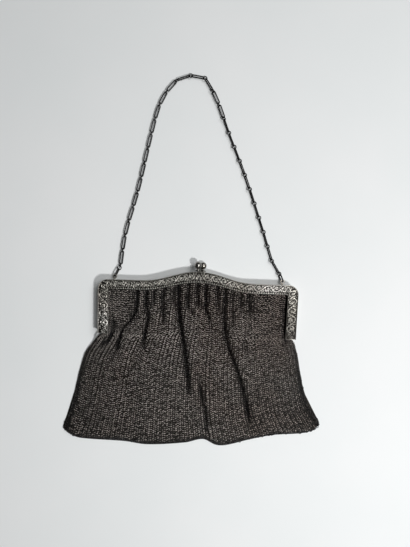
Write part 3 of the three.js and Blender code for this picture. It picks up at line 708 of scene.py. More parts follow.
@dataclass
class ScrollOrnament:
    """A running vine with scrolls on both sides of it and leaves between them."""

    pitch: float = 6.6
    start_share: float = 0.45
    scroll_radius: float = 1.8
    scroll_eye: float = 0.6
    scroll_turn: float = 1.7 * math.pi
    scroll_shift: float = 0.3
    scroll_fall: float = 0.85
    most_growth: float = 0.4
    stem_half: float = 0.39
    tip_half: float = 0.27
    boss_half: float = 0.48
    vine_swing: float = 2.1
    vine_blunt: float = 0.8
    vine_half: float = 0.3
    leaf_length: float = 2.0
    leaf_half: float = 0.38
    leaf_root: float = 0.25
    leaf_steps: int = 16
    end_leaf_across: float = 0.3
    middle_leaf_across: float = -1.1
    bud_half: float = 0.34
    fan_root: tuple[float, float] = (0.6, 0.9)
    fan_stem: float = 1.2
    fan_size: float = 0.9
    fan_leaves: tuple[tuple[float, float, float], ...] = (
        (-0.6, 0.9, 0.9), (0.0, 0.8, 0.9), (0.5, 0.6, 0.8),
    )
    first_filler: float = 0.4
    filler_shift: float = 0.45
    filler_across_share: float = 0.7
    filler_bend: float = 1.4
    filler_pitch: float = 1.15
    filler_rows: tuple[float, ...] = (-2.15, -1.1, 0.0, 1.1, 2.15)
    filler_size: float = 0.62
    dot_step: float = 0.12
    wander: float = 0.22
    seed: int = 7

    def leaf(self, along: float, across: float, turn: float, bend: float, size: float) -> Stroke:
        """A leaf: an arc that starts thin, is widest past its middle and ends in a point.

        Args:
            along: Where its root is along the band.
            across: Where its root is across it.
            turn: The way it starts, in radians from along the band.
            bend: How far it turns on its way.
            size: Its size as a share of the named one.

        Returns:
            The leaf's line.
        """
        share = np.linspace(0, 1, self.leaf_steps)
        way = turn + bend * share
        step = self.leaf_length * size / len(share)
        swell = np.sin(math.pi * share**1.4)
        half = self.leaf_half * size * (self.leaf_root + (1 - self.leaf_root) * swell)
        return Stroke(
            along + np.cumsum(np.cos(way)) * step, across + np.cumsum(np.sin(way)) * step, half
        )

    def ball(self, along: float, across: float, half: float) -> Stroke:
        """A boss or a bud: a line of one place."""
        return Stroke(np.array([along]), np.array([across]), np.array([half]))

    def scroll(self, middle: float, side: int, size: float) -> list[Stroke]:
        """A scroll and its boss: the radius falls as the line turns in to its middle.

        Args:
            middle: Where its middle is along the band.
            side: The side of the band that it curls on, -1 or 1.
            size: Its size as a share of the named one.

        Returns:
            The scroll's line and the boss.
        """
        share = np.linspace(0, 1, round(self.scroll_radius * self.scroll_turn / self.dot_step / 2))
        turn = self.scroll_turn * share
        reach = self.scroll_radius * size
        radius = reach + (self.scroll_eye - reach) * share**self.scroll_fall
        half = self.stem_half + (self.tip_half - self.stem_half) * share
        across = side * (radius * np.sin(turn) + self.scroll_shift)
        line = Stroke(middle - radius * np.cos(turn), across, half)
        return [line, self.ball(middle, side * self.scroll_shift, self.boss_half)]

    def cell(self, middle: float, side: int, rng: np.random.Generator) -> list[Stroke]:
        """One repeat: a scroll on one side, the vine passing on the other, and leaves.

        Args:
            middle: Where its middle is along the band.
            side: The side that the scroll curls on, -1 or 1.
            rng: Where the small differences between repeats come from.

        Returns:
            The lines of the repeat.
        """
        half_pitch = self.pitch / 2
        strokes = self.scroll(middle, side, 1 + self.wander * rng.uniform(-1, self.most_growth))
        run = np.arange(-half_pitch, half_pitch, self.dot_step)
        wave = -side * self.vine_swing * np.cos(math.pi * run / self.pitch) ** self.vine_blunt
        strokes.append(Stroke(middle + run, wave, np.full(len(run), self.vine_half)))
        for row in LEAVES:
            shift = self.wander * rng.uniform(-1, 1, 3)
            along = middle + row.end * half_pitch + row.shift
            across = side * (self.end_leaf_across if row.end else self.middle_leaf_across)
            strokes.append(
                self.leaf(along + shift[0], across + shift[1], side * (row.turn + shift[2]),
                          side * row.bend, row.size)
            )
        for row in BUDS:
            shift = self.wander * rng.uniform(-1, 1, 2)
            along = middle + row.end * half_pitch + row.shift + shift[0]
            strokes.append(self.ball(along, side * row.across + shift[1], self.bud_half))
        return strokes

    def palmette(self) -> list[Stroke]:
        """The fan of leaves at the middle of the crest, right half and middle leaf."""
        middle = self.leaf(0.0, self.fan_stem, -math.pi / 2, 0.0, self.fan_size)
        return [middle] + [self.leaf(*self.fan_root, *leaf) for leaf in self.fan_leaves]

    def fillers(self, half_length: float, rng: np.random.Generator) -> list[Stroke]:
        """Small leaves, turned at random, that fill the ground between the scrolls.

        Args:
            half_length: From the band's middle to an arm's end.
            rng: Where their places and turns come from.

        Returns:
            The leaves, in rows along the band.
        """
        places = np.arange(self.first_filler, half_length, self.filler_pitch)
        most = self.filler_shift
        shift = rng.uniform(-most, most, (len(places), len(self.filler_rows), 2))
        turns = rng.uniform(0, 2 * math.pi, shift.shape[:2])
        bends = rng.uniform(-self.filler_bend, self.filler_bend, shift.shape[:2])
        shift[..., 1] *= self.filler_across_share
        return [
            self.leaf(along + shift[i, j, 0], across + shift[i, j, 1], turns[i, j],
                      bends[i, j], self.filler_size)
            for i, along in enumerate(places)
            for j, across in enumerate(self.filler_rows)
        ]

    def strokes(self, half_length: float) -> list[Stroke]:
        """All the lines of the ornament, alike on both sides of the middle.

        Args:
            half_length: From the band's middle to an arm's end, along the middle of the band.

        Returns:
            The lines.
        """
        rng = np.random.default_rng(self.seed)
        start = self.pitch * self.start_share
        count = int((half_length - start) / self.pitch)
        lines = self.palmette() + self.fillers(half_length, rng)
        for number in range(count + 1):
            middle = start + self.pitch * (number + 0.5)
            if middle + self.scroll_radius < half_length:
                lines += self.cell(middle, 1 if number % 2 else -1, rng)
        return lines + [line.mirrored() for line in lines]

    def heights(self, along: Array, across: Array, half_length: float) -> Array:
        """Height of the ornament above its ground.

        It is the upper envelope of balls whose middles run along every line on the ground and
        whose radii are half the line's width: the root of the radius squared less the distance
        squared.

        Args:
            along: Places along the band, rising, one for each row of the grid.
            across: Places across it from its middle, rows by columns.
            half_length: From the band's middle to an arm's end.

        Returns:
            Heights, rows by columns.
        """
        height = np.zeros(across.shape)
        for line in self.strokes(half_length):
            reach = line.half.max()
            first = np.searchsorted(along, line.along.min() - reach)
            last = np.searchsorted(along, line.along.max() + reach)
            if first == last:
                continue
            far = (along[first:last, None, None] - line.along) ** 2
            far = far + (across[first:last, :, None] - line.across) ** 2
            ball = np.sqrt(np.maximum(line.half**2 - far, 0)).max(axis=2)
            height[first:last] = np.maximum(height[first:last], ball)
        return height


@dataclass
class ClaspFrame:
    """The front half of the frame, with its cast ornament and beaded inner edge.

    The outer edge is brighter along the band than down the arms, which have no beads. Some
    stretches get a painted highlight and others painted shade: each has a middle along the
    frame, a reach and an amount, which is below 0 where the shade is painted.
    """

    outline: FrameOutline
    ornament: ScrollOrnament = field(default_factory=ScrollOrnament)
    flange_thickness: float = 1.0
    step: float = 0.155
    face_columns: int = 42
    edge_steps: int = 5
    rim_width: float = 0.4
    bead_strip: float = 1.35
    bead_radius: float = 0.68
    bead_pitch: float = 1.75
    bead_ground: float = 0.6
    bead_look: float = 1.2
    ground_depth: float = 0.46
    proud: float = 0.03
    dome: float = 0.3
    outer_round: float = 0.4
    inner_round: float = 0.35
    border_ease: float = 0.18
    arm_edge_look: float = 0.25
    inner_edge_look: float = 0.2
    # Stretches of painted light along the frame: a painted highlight where the amount is above 0,
    # painted shade where it is below.
    polished: tuple[tuple[float, float, float], ...] = (
        (55.0, 13.0, 0.55), (-96.0, 14.0, 0.35), (98.0, 17.0, -0.45), (0.0, 26.0, -0.24),
    )
    hinge_from_end: float = 2.2
    ear_radius: float = 2.0

    def on_arm(self, along: Array) -> Array:
        """Eases from 0 on the band to 1 on the arms."""
        turn = self.outline.half_width - self.outline.corner_radius
        return smooth((np.abs(along) - turn) / self.outline.corner_radius)

    def face_relief(self, along: Array, share: Array, width: Array) -> tuple[Array, Array]:
        """Height of the front face below its borders, and how raised each place looks.

        The beads are balls at equal steps along the inner edge, sunk in the face, and the whole
        face is domed by the square of the distance from its middle.

        Args:
            along: Places along the band, one for each row.
            share: Places across it as shares from its outer to its inner edge.
            width: The band's width, one for each row.

        Returns:
            Heights, 0 on the border and negative below it, and values from 0 in the ground to 1
            on what is raised.
        """
        half_length = along[-1]
        from_outer = share[None, :] * width[:, None]
        from_inner = width[:, None] - from_outer
        strip = self.bead_strip * (1 - self.on_arm(along))[:, None]
        middle = (self.rim_width + width[:, None] - strip) / 2
        field_width = width[:, None] - self.rim_width - strip
        stretch = field_width / (self.outline.band_width - self.rim_width - self.bead_strip)
        raised = self.ornament.heights(along, (from_outer - middle) / stretch, half_length)
        field_height = np.minimum(raised - self.ground_depth, self.proud)
        bead_number = np.round(along / self.bead_pitch) * self.bead_pitch
        far = (along - bead_number)[:, None] ** 2
        far = far + (from_inner - strip / 2) ** 2
        bead = np.sqrt(np.maximum(self.bead_radius**2 - far, 0))
        bead_height = bead - self.bead_ground
        end = (half_length - np.abs(along))[:, None]
        border = np.minimum(from_outer, end) - self.rim_width
        in_field = smooth(border / self.border_ease + 0.5)
        in_beads = smooth((strip - from_inner) / self.border_ease + 0.5)
        in_beads = in_beads * smooth((end - self.rim_width) / self.border_ease + 0.5)
        height = in_field * field_height
        height = height + (bead_height - height) * in_beads
        look = 1 - in_field + in_field * np.minimum(raised / self.ground_depth, 1)
        look = look + (self.bead_look * (bead / self.bead_radius) ** 2 - look) * in_beads
        height = height - self.dome * (2 * share[None, :] - 1) ** 2
        over = np.maximum(self.outer_round - end, 0)
        height = height - (self.outer_round - np.sqrt(self.outer_round**2 - over**2))
        return height, look

    def front_half(self) -> Shell:
        """A channel section carried along the frame, with the relief in its face.

        A place of the section is so far from the outer edge towards the inner one, at a height.
        The section runs up the outer wall, round its edge, over the face, round the inner edge
        and back underneath. Its lower ends rise at the hinges to make room for the outer ears.

        Returns:
            The closed channel, with the values named height and polish.
        """
        outer, inner = self.outline.edges(self.step)
        middle = (outer + inner) / 2
        run = np.pad(np.cumsum(np.linalg.norm(np.diff(middle, axis=0), axis=1)), (1, 0))
        along = run - run[-1] / 2
        width = np.linalg.norm(inner - outer, axis=1)
        top = self.outline.thickness
        gap = self.outline.gap
        hinge = self.outline.arm_end + self.hinge_from_end
        room = self.ear_radius + gap
        low = np.where(outer[:, 1] < hinge + room, top / 2 + room, (top + gap) / 2)
        turn = np.linspace(0, math.pi / 2, self.edge_steps)
        face = np.linspace(0, 1, self.face_columns)
        rows = len(outer)

        def column(offset: Array, height: Array) -> Array:
            """Spreads a place of the section over all the rows, as offset and height."""
            return np.stack(np.broadcast_arrays(offset, height, np.zeros(rows))[:2], axis=1)

        wall = [column(np.zeros(rows), low + (top - self.outer_round - low) * share)
                for share in (0.0, 0.5)]
        outer_edge = [
            column(self.outer_round * (1 - math.cos(a)),
                   top - self.outer_round * (1 - math.sin(a)))
            for a in turn
        ]
        face_start = self.outer_round
        face_run = width - self.outer_round - self.inner_round
        face_offsets = face_start + face[None, 1:-1] * face_run[:, None]
        relief, look = self.face_relief(along, face_offsets[rows // 2] / width[rows // 2], width)
        face_part = [
            column(face_offsets[:, k], top + relief[:, k]) for k in range(face_offsets.shape[1])
        ]
        inner_edge = [
            column(width - self.inner_round * (1 - math.sin(a)),
                   top - self.inner_round * (1 - math.cos(a)))
            for a in turn
        ]
        under = top - self.outline.face_thickness
        back = [
            column(width, np.full(rows, under)),
            column(np.full(rows, self.flange_thickness), np.full(rows, under)),
            column(np.full(rows, self.flange_thickness), low),
        ]
        section = np.stack(wall + outer_edge + face_part + inner_edge + back, axis=1)
        across = (inner - outer) / width[:, None]
        flat = outer[:, None, :] + across[:, None, :] * section[..., :1]
        grid = np.concatenate([flat, section[..., 1:]], axis=2)
        values = np.full(grid.shape[:2], self.inner_edge_look)
        first = len(wall) + len(outer_edge)
        values[:, :first] = (1 + (self.arm_edge_look - 1) * self.on_arm(along))[:, None]
        values[:, first:first + look.shape[1]] = look
        values[:, -len(back):] = 0.0
        # Painted light along the frame: a highlight on brighter stretches, and shade that moves
        # darker ones towards the recess colour.
        polish = np.zeros(rows)
        for place, reach, amount in self.polished:
            polish = polish + amount * np.exp(-(((along - place) / reach) ** 2))
        values = values * (1 + np.minimum(polish, 0))[:, None]
        polish = np.broadcast_to(np.maximum(polish, 0)[:, None], values.shape)
        return capped(grid, {"height": values, "polish": polish})

    def build(self, finishes: Finishes) -> None:
        """Makes the front half and dresses the back half and the hinge pins.

        Args:
            finishes: The purse's materials.
        """
        add_piece("front_frame", self.front_half(), finishes.frame_silver,
                  ["front_frame_half"])
        dress_node("back_frame_half", finishes.back_silver)
        for side in Side:
            dress_node(f"{side.name.lower()}_hinge_pin", finishes.pin_metal)


def dress_node(name: str, material: bpy.types.Material) -> None:
    """Gives a node of the frame its finish.

    Args:
        name: The node.
        material: The finish.
    """
    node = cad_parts[name]
    node.data.materials.clear()
    node.data.materials.append(material)
    log.info("%s: finish %s", name, material.name)


# Kiss-lock


@dataclass
class KissKnob:
    """One ball of the kiss-lock, on a waisted neck and a round collar."""

    x: float
    root_z: float
    lean: float
    seat: float
    radius: float = 2.75
    height: float = 4.5
    neck_radius: float = 0.85
    collar_radius: float = 2.2
    collar_thickness: float = 0.7
    shank_radius: float = 0.6
    shank_depth: float = 1.9
    collar_bulge: float = 0.6
    sides: int = 40
    neck_steps: int = 8
    ball_steps: int = 26
    collar_steps: int = 7

    def profile(self) -> Array:
        """The section of the knob: its collar is a half ellipse and its neck a cubic.

        Returns:
            Radius and height of each place, from the shank's end to the top of the ball.
        """
        neck_turn = math.acos(self.neck_radius / self.radius)
        neck_top = self.height - self.radius * math.sin(neck_turn)
        share = np.linspace(0, 1, self.neck_steps)
        waist = self.neck_radius + (self.collar_radius - self.neck_radius) * (1 - share) ** 3
        neck = np.stack([waist, self.collar_thickness + (neck_top - self.collar_thickness) * share],
                        axis=1)
        turn = np.linspace(-neck_turn, math.pi / 2, self.ball_steps)[1:-1]
        ball = np.stack([self.radius * np.cos(turn), self.height + self.radius * np.sin(turn)],
                        axis=1)
        turn = np.linspace(-math.pi / 2, math.pi / 2, self.collar_steps)
        half = self.collar_thickness / 2
        collar = np.stack([self.collar_radius + half * np.cos(turn) * self.collar_bulge,
                           half + half * np.sin(turn)], axis=1)
        foot = np.array([[self.shank_radius, -self.shank_depth], [self.shank_radius, 0.0]])
        return np.concatenate([foot, collar, neck, ball])

    def shell(self) -> Shell:
        """The profile turned about Y, leaning over the other frame half above its collar.

        Returns:
            The closed knob.
        """
        profile = self.profile()
        turn = np.linspace(0, 2 * math.pi, self.sides, endpoint=False)
        above = np.maximum(profile[:, 1] - self.collar_thickness, 0)
        shift = self.lean * above / (self.height - self.collar_thickness)
        x = self.x + profile[:, :1] * np.cos(turn)
        y = np.broadcast_to(self.seat + profile[:, 1:], x.shape)
        z = self.root_z + shift[:, None] + profile[:, :1] * np.sin(turn)
        return capped(np.stack([x, y, z], axis=2)[:, ::-1])


@dataclass
class KissLock:
    """The pair of balls that snap past each other."""

    outline: FrameOutline
    offset: float = 1.1
    spacing: float = 3.7
    root_inset: float = 2.4
    lean: float = 0.2

    def build(self, finishes: Finishes) -> None:
        """Makes both balls.

        Args:
            finishes: The purse's materials.
        """
        for node, x, root, lean in (
            ("front_kiss_knob", self.offset - self.spacing / 2,
             self.outline.thickness - self.root_inset, -self.lean),
            ("back_kiss_knob", self.offset + self.spacing / 2, self.root_inset, self.lean),
        ):
            seat = float(self.outline.upper(np.array(x))) + self.outline.gap
            knob = KissKnob(x, root, lean, seat)
            add_piece(node + "_ball", knob.shell(), finishes.knob_silver, [node])


# Chain


@dataclass
class CarryingChain:
    """Long links joined by small rings, laid along the route of the frame's own chain."""

    outline: FrameOutline
    count: int = 29
    link_radius: float = 1.02
    link_wire: float = 0.47
    ring_radius: float = 1.5
    ring_wire: float = 0.36
    jump_radius: float = 1.65
    connector_radius: float = 1.25
    connector_wire: float = 0.5
    contact: float = 0.76
    lift: float = 0.15
    eye_inset: float = 11.0
    eye_rise: float = 2.4
    eye_height: float = 2.8
    bend_steps: int = 10
    route_steps: int = 60
    wire_sides: int = 8
    turn_wander: float = 7.0
    turn_waves: float = 5.0
    connector_turns: tuple[float, float] = (104.0, 58.0)
    link_turns: tuple[tuple[int, float], ...] = ((0, 16.0), (13, 74.0), (16, 18.0), (18, 76.0))
    route: tuple[tuple[float, float], ...] = (
        (-60.1, 7.3), (-57.4, 30.6), (-48.7, 65.2), (-41.9, 99.1), (-37.1, 121.7), (-33.5, 133.6),
        (-27.7, 143.7), (-20.6, 151.2), (-10.3, 154.3), (-0.6, 152.8), (4.6, 145.5), (10.4, 134.0),
        (18.9, 112.2), (32.6, 79.4), (49.0, 34.2), (55.9, 13.4), (61.5, 4.5),
    )

    def loop(self, radius: float, wire: float, stretch: float) -> Array:
        """A closed wire: two half circles joined by straight runs, with a round section.

        A place on its centreline is on a circle, moved along X by the stretch to its own side.

        Args:
            radius: Radius of the half circles, to the middle of the wire.
            wire: Half the wire's thickness.
            stretch: Half the length of the straight runs, or 0 for a round ring.

        Returns:
            Places, steps round the loop by corners of the section by axes.
        """
        half = np.linspace(-math.pi / 2, math.pi / 2, self.bend_steps)
        turn = np.concatenate([half, half + math.pi])
        if stretch == 0:
            turn = np.linspace(0, 2 * math.pi, 2 * self.bend_steps, endpoint=False)
        shift = np.repeat([stretch, -stretch], self.bend_steps)
        out = np.stack([np.cos(turn), np.sin(turn), np.zeros(len(turn))], axis=1)
        centre = radius * out + shift[:, None] * np.array([1.0, 0.0, 0.0])
        section = np.linspace(0, 2 * math.pi, self.wire_sides, endpoint=False)
        side = np.cos(section)[None, :, None] * out[:, None, :]
        up = np.sin(section)[None, :, None] * np.array([0.0, 0.0, 1.0])
        return centre[:, None, :] + wire * (side + up)

    def laid(self, loop: Array, middle: Array, along: Array, degrees: float) -> Shell:
        """Puts a loop in its place.

        Args:
            loop: The loop round the origin, its length along X.
            middle: Where its middle goes.
            along: The way that its length goes.
            degrees: How far it is turned about that way, out of the surface.

        Returns:
            The loop as a shell.
        """
        ahead = unit(along)
        level = unit(np.cross([0.0, 0.0, 1.0], ahead))
        upright = np.cross(ahead, level)
        turn = math.radians(degrees)
        across = level * math.cos(turn) + upright * math.sin(turn)
        basis = np.stack([ahead, across, np.cross(ahead, across)])
        steps, corners = loop.shape[:2]
        return Shell((loop @ basis + middle).reshape(-1, 3),
                     [grid_faces(steps, corners, True, True)])

    def turn_of(self, index: int) -> float:
        """How far a link is turned out of the surface: a step of the table and a slow wave.

        Args:
            index: The link's number from the left end.

        Returns:
            The turn in degrees.
        """
        start = [degrees for first, degrees in self.link_turns if first <= index][-1]
        wave = math.sin(2 * math.pi * self.turn_waves * index / self.count)
        return start + self.turn_wander * wave

    def rest_height(self, degrees: float) -> float:
        """Height at which links and rings rest on the surface.

        Args:
            degrees: How far the links are turned out of it. The rings are a right angle on.

        Returns:
            The height of their middles.
        """
        turn = math.radians(degrees)
        link = self.link_radius * abs(math.sin(turn)) + self.link_wire
        ring = self.ring_radius * abs(math.cos(turn)) + self.ring_wire
        return max(link, ring) + self.lift

    def stations(self) -> Array:
        """Where links meet: equal steps along a smooth curve through the route's points.

        The curve is a cubic between two points, whose slopes come from the points around them,
        weighted by the roots of the distances.

        Returns:
            The places, one more than there are links.
        """
        points = np.array(self.route)
        before = 2 * points[:1] - points[1:2]
        after = 2 * points[-1:] - points[-2:-1]
        points = np.concatenate([before, points, after])
        share = np.linspace(0, 1, self.route_steps, endpoint=False)[:, None]
        parts = []
        for p0, p1, p2, p3 in zip(points, points[1:], points[2:], points[3:]):
            d0, d1, d2 = (math.sqrt(math.dist(a, b)) for a, b in ((p0, p1), (p1, p2), (p2, p3)))
            t1 = ((p1 - p0) / d0 - (p2 - p0) / (d0 + d1) + (p2 - p1) / d1) * d1
            t2 = ((p2 - p1) / d1 - (p3 - p1) / (d1 + d2) + (p3 - p2) / d2) * d1
            parts.append(
                p1 + t1 * share + (3 * (p2 - p1) - 2 * t1 - t2) * share**2
                + (2 * (p1 - p2) + t1 + t2) * share**3
            )
        line = np.concatenate([*parts, points[-2:-1]])
        line = np.concatenate([line, np.zeros((len(line), 1))], axis=1)
        placed = evenly_spaced(line[None], self.count + 1)[0]
        for index in range(self.count + 1):
            before = self.rest_height(self.turn_of(max(index - 1, 0)))
            after = self.rest_height(self.turn_of(min(index, self.count - 1)))
            placed[index, 2] = max(before, after)
        return placed

    def eye(self, side: Side) -> Array:
        """Middle of the frame's eye on one side."""
        x = side.value * (self.outline.half_width - self.eye_inset)
        return np.array([x, self.outline.straight_top + self.eye_rise, self.eye_height])

    def connector(self, ring: Array, reach: float, eye: Array, degrees: float) -> Shell:
        """An oval link from a ring at the chain's end through an eye of the frame.

        Args:
            ring: The ring's middle.
            reach: How far from it the link begins.
            eye: The eye's middle.
            degrees: How far the link is turned out of the surface.

        Returns:
            The link.
        """
        ahead = unit(eye - ring)
        start = ring + ahead * reach
        stretch = float(np.linalg.norm(eye - start)) / 2 - self.connector_radius
        loop = self.loop(self.connector_radius, self.connector_wire, stretch)
        return self.laid(loop, (start + eye) / 2, ahead, degrees)

    def shell(self) -> Shell:
        """All the links, then the rings, the jump ring at the left end and the connectors.

        Returns:
            The whole chain.
        """
        stations = self.stations()
        reach = self.ring_radius - self.contact
        parts = []
        for index in range(self.count):
            chord = stations[index + 1] - stations[index]
            stretch = float(np.linalg.norm(chord)) / 2 - reach - self.link_radius
            loop = self.loop(self.link_radius, self.link_wire, stretch)
            middle = (stations[index] + stations[index + 1]) / 2
            parts.append(self.laid(loop, middle, chord, self.turn_of(index)))
        for index in range(self.count + 1):
            before = max(index - 1, 0)
            after = min(index + 1, self.count)
            turn = (self.turn_of(before) + self.turn_of(min(index, self.count - 1))) / 2 + 90
            loop = self.loop(self.ring_radius, self.ring_wire, 0)
            parts.append(self.laid(loop, stations[index], stations[after] - stations[before], turn))
        ahead = unit(self.eye(Side.LEFT) - stations[0])
        jump = stations[0] + ahead * (reach + self.jump_radius)
        loop = self.loop(self.jump_radius, self.ring_wire, 0)
        parts.append(self.laid(loop, jump, ahead, self.turn_of(0)))
        left, right = self.connector_turns
        jump_reach = self.jump_radius - self.contact
        parts.append(self.connector(jump, jump_reach, self.eye(Side.LEFT), left))
        parts.append(self.connector(stations[-1], reach, self.eye(Side.RIGHT), right))
        return join_shells(parts)

    def build(self, finishes: Finishes) -> None:
        """Makes the chain."""
        add_piece("fine_chain", self.shell(), finishes.chain_metal,
                  ["carrying_chain"])


# Mesh bag


@dataclass(frozen=True)
class SkirtSection:
    """The bag below the frame's arms, at one level.

    Attributes:
        down: Share of the way from the arm ends to the hem.
        left: Half width to the left as a share of half the frame's width.
        right: Half width to the right, the same way.
    """

    down: float
    left: float
    right: float


@dataclass(frozen=True)
class HeightPoint:
    """The layer's top at one level.

    Attributes:
        down: Share of the bag's drop below the band.
        height: Top of the mesh as a share of the frame's thickness.
    """

    down: float
    height: float


@dataclass(frozen=True)
class HemPoint:
    """The hem: share of its width from the left, and drop as a share of the bag's drop."""

    across: float
    drop: float


@dataclass(frozen=True)
class Fold:
    """The valley of a fold, through a few places.

    Attributes:
        across: Places as shares of half the frame's width.
        down: Places as shares of the bag's drop below the band.
        wide: Width as a share of the bag's named fold width.
        deep: Depth as a share of its named fold depth.
        fades_in: Whether it starts below the band and so gets deep by degrees.
        fade: Share of its length over which it fades out.
    """

    across: tuple[float, ...]
    down: tuple[float, ...]
    wide: float
    deep: float
    fades_in: bool = False
    fade: float = 0.5


SKIRT = (
    SkirtSection(0.00, 0.928, 0.928), SkirtSection(0.03, 1.004, 0.982),
    SkirtSection(0.08, 1.044, 1.006), SkirtSection(0.20, 1.134, 1.040),
    SkirtSection(0.38, 1.187, 1.070), SkirtSection(0.58, 1.228, 1.110),
    SkirtSection(0.74, 1.263, 1.155), SkirtSection(0.86, 1.303, 1.224),
    SkirtSection(0.95, 1.335, 1.278), SkirtSection(0.985, 1.338, 1.283),
    SkirtSection(1.00, 1.330, 1.268),
)

HEIGHTS = (
    HeightPoint(0.0, 0.94), HeightPoint(0.2, 0.94), HeightPoint(0.35, 0.91),
    HeightPoint(0.5, 0.81), HeightPoint(0.7, 0.64), HeightPoint(0.85, 0.52),
    HeightPoint(1.0, 0.42),
)

HEM = (
    HemPoint(0.00, 0.926), HemPoint(0.03, 0.962), HemPoint(0.07, 0.981), HemPoint(0.24, 0.992),
    HemPoint(0.33, 1.008), HemPoint(0.48, 0.988), HemPoint(0.55, 0.962), HemPoint(0.60, 0.996),
    HemPoint(0.64, 0.996), HemPoint(0.74, 0.951), HemPoint(0.83, 0.919), HemPoint(0.93, 0.904),
    HemPoint(0.97, 0.888), HemPoint(0.99, 0.868), HemPoint(1.00, 0.845),
)

FOLDS = (
    Fold((-0.834, -0.841, -0.858, -0.895, -0.947, -0.975),
         (0.150, 0.251, 0.296, 0.331, 0.371, 0.420), 1.5, 1.2,
         fades_in=True, fade=0.3),
    Fold((-0.610, -0.609, -0.640, -0.699, -0.758, -0.781, -0.828),
         (0.000, 0.093, 0.168, 0.218, 0.273, 0.337, 0.460), 1.1, 1.2, fade=0.25),
    Fold((-0.517, -0.511, -0.489, -0.504, -0.521, -0.536),
         (-0.01, 0.106, 0.164, 0.228, 0.282, 0.440), 1.1, 1.1, fade=0.3),
    Fold((-0.435, -0.444, -0.446), (0.000, 0.050, 0.140), 1.0, 1.0),
    Fold((-0.336, -0.352, -0.341, -0.329), (-0.01, 0.063, 0.150, 0.270), 1.1, 1.0),
    Fold((-0.245, -0.250, -0.244), (0.000, 0.040, 0.130), 0.9, 0.9),
    Fold((-0.197, -0.180, -0.138, -0.120, -0.075, -0.056),
         (-0.01, 0.144, 0.300, 0.359, 0.554, 0.720), 1.2, 1.35, fade=0.2),
    Fold((-0.093, -0.097, -0.099), (0.000, 0.050, 0.170), 1.0, 1.0),
    Fold((-0.007, 0.006, 0.010), (0.000, 0.050, 0.140), 1.0, 0.9),
    Fold((0.080, 0.089, 0.123, 0.140, 0.158), (-0.02, 0.119, 0.167, 0.216, 0.320), 1.0, 1.1,
         fade=0.7),
    Fold((0.199, 0.210, 0.220), (-0.02, 0.068, 0.170), 1.0, 1.1),
    Fold((0.277, 0.282, 0.319, 0.387, 0.446, 0.533, 0.570),
         (-0.01, 0.213, 0.330, 0.446, 0.543, 0.737, 0.890), 1.1, 1.35, fade=0.15),
    Fold((0.352, 0.350, 0.358, 0.372), (0.000, 0.112, 0.190, 0.280), 1.0, 0.8),
    Fold((0.430, 0.436, 0.440), (0.000, 0.053, 0.150), 1.0, 0.8),
    Fold((0.514, 0.522, 0.526), (0.000, 0.081, 0.190), 1.0, 1.0),
    Fold((0.037, 0.076, 0.109, 0.124, 0.127), (0.500, 0.702, 0.751, 0.829, 1.030), 1.1, 1.0,
         fades_in=True),
    Fold((0.699, 0.880, 1.056), (0.450, 0.628, 0.820), 2.4, 0.3, fades_in=True),
    Fold((0.477, 0.476, 0.476), (0.270, 0.330, 0.400), 0.6, 0.5, fades_in=True),
    Fold((0.893, 0.886, 0.898, 0.904), (0.000, 0.200, 0.333, 0.430), 1.2, 1.0),
)


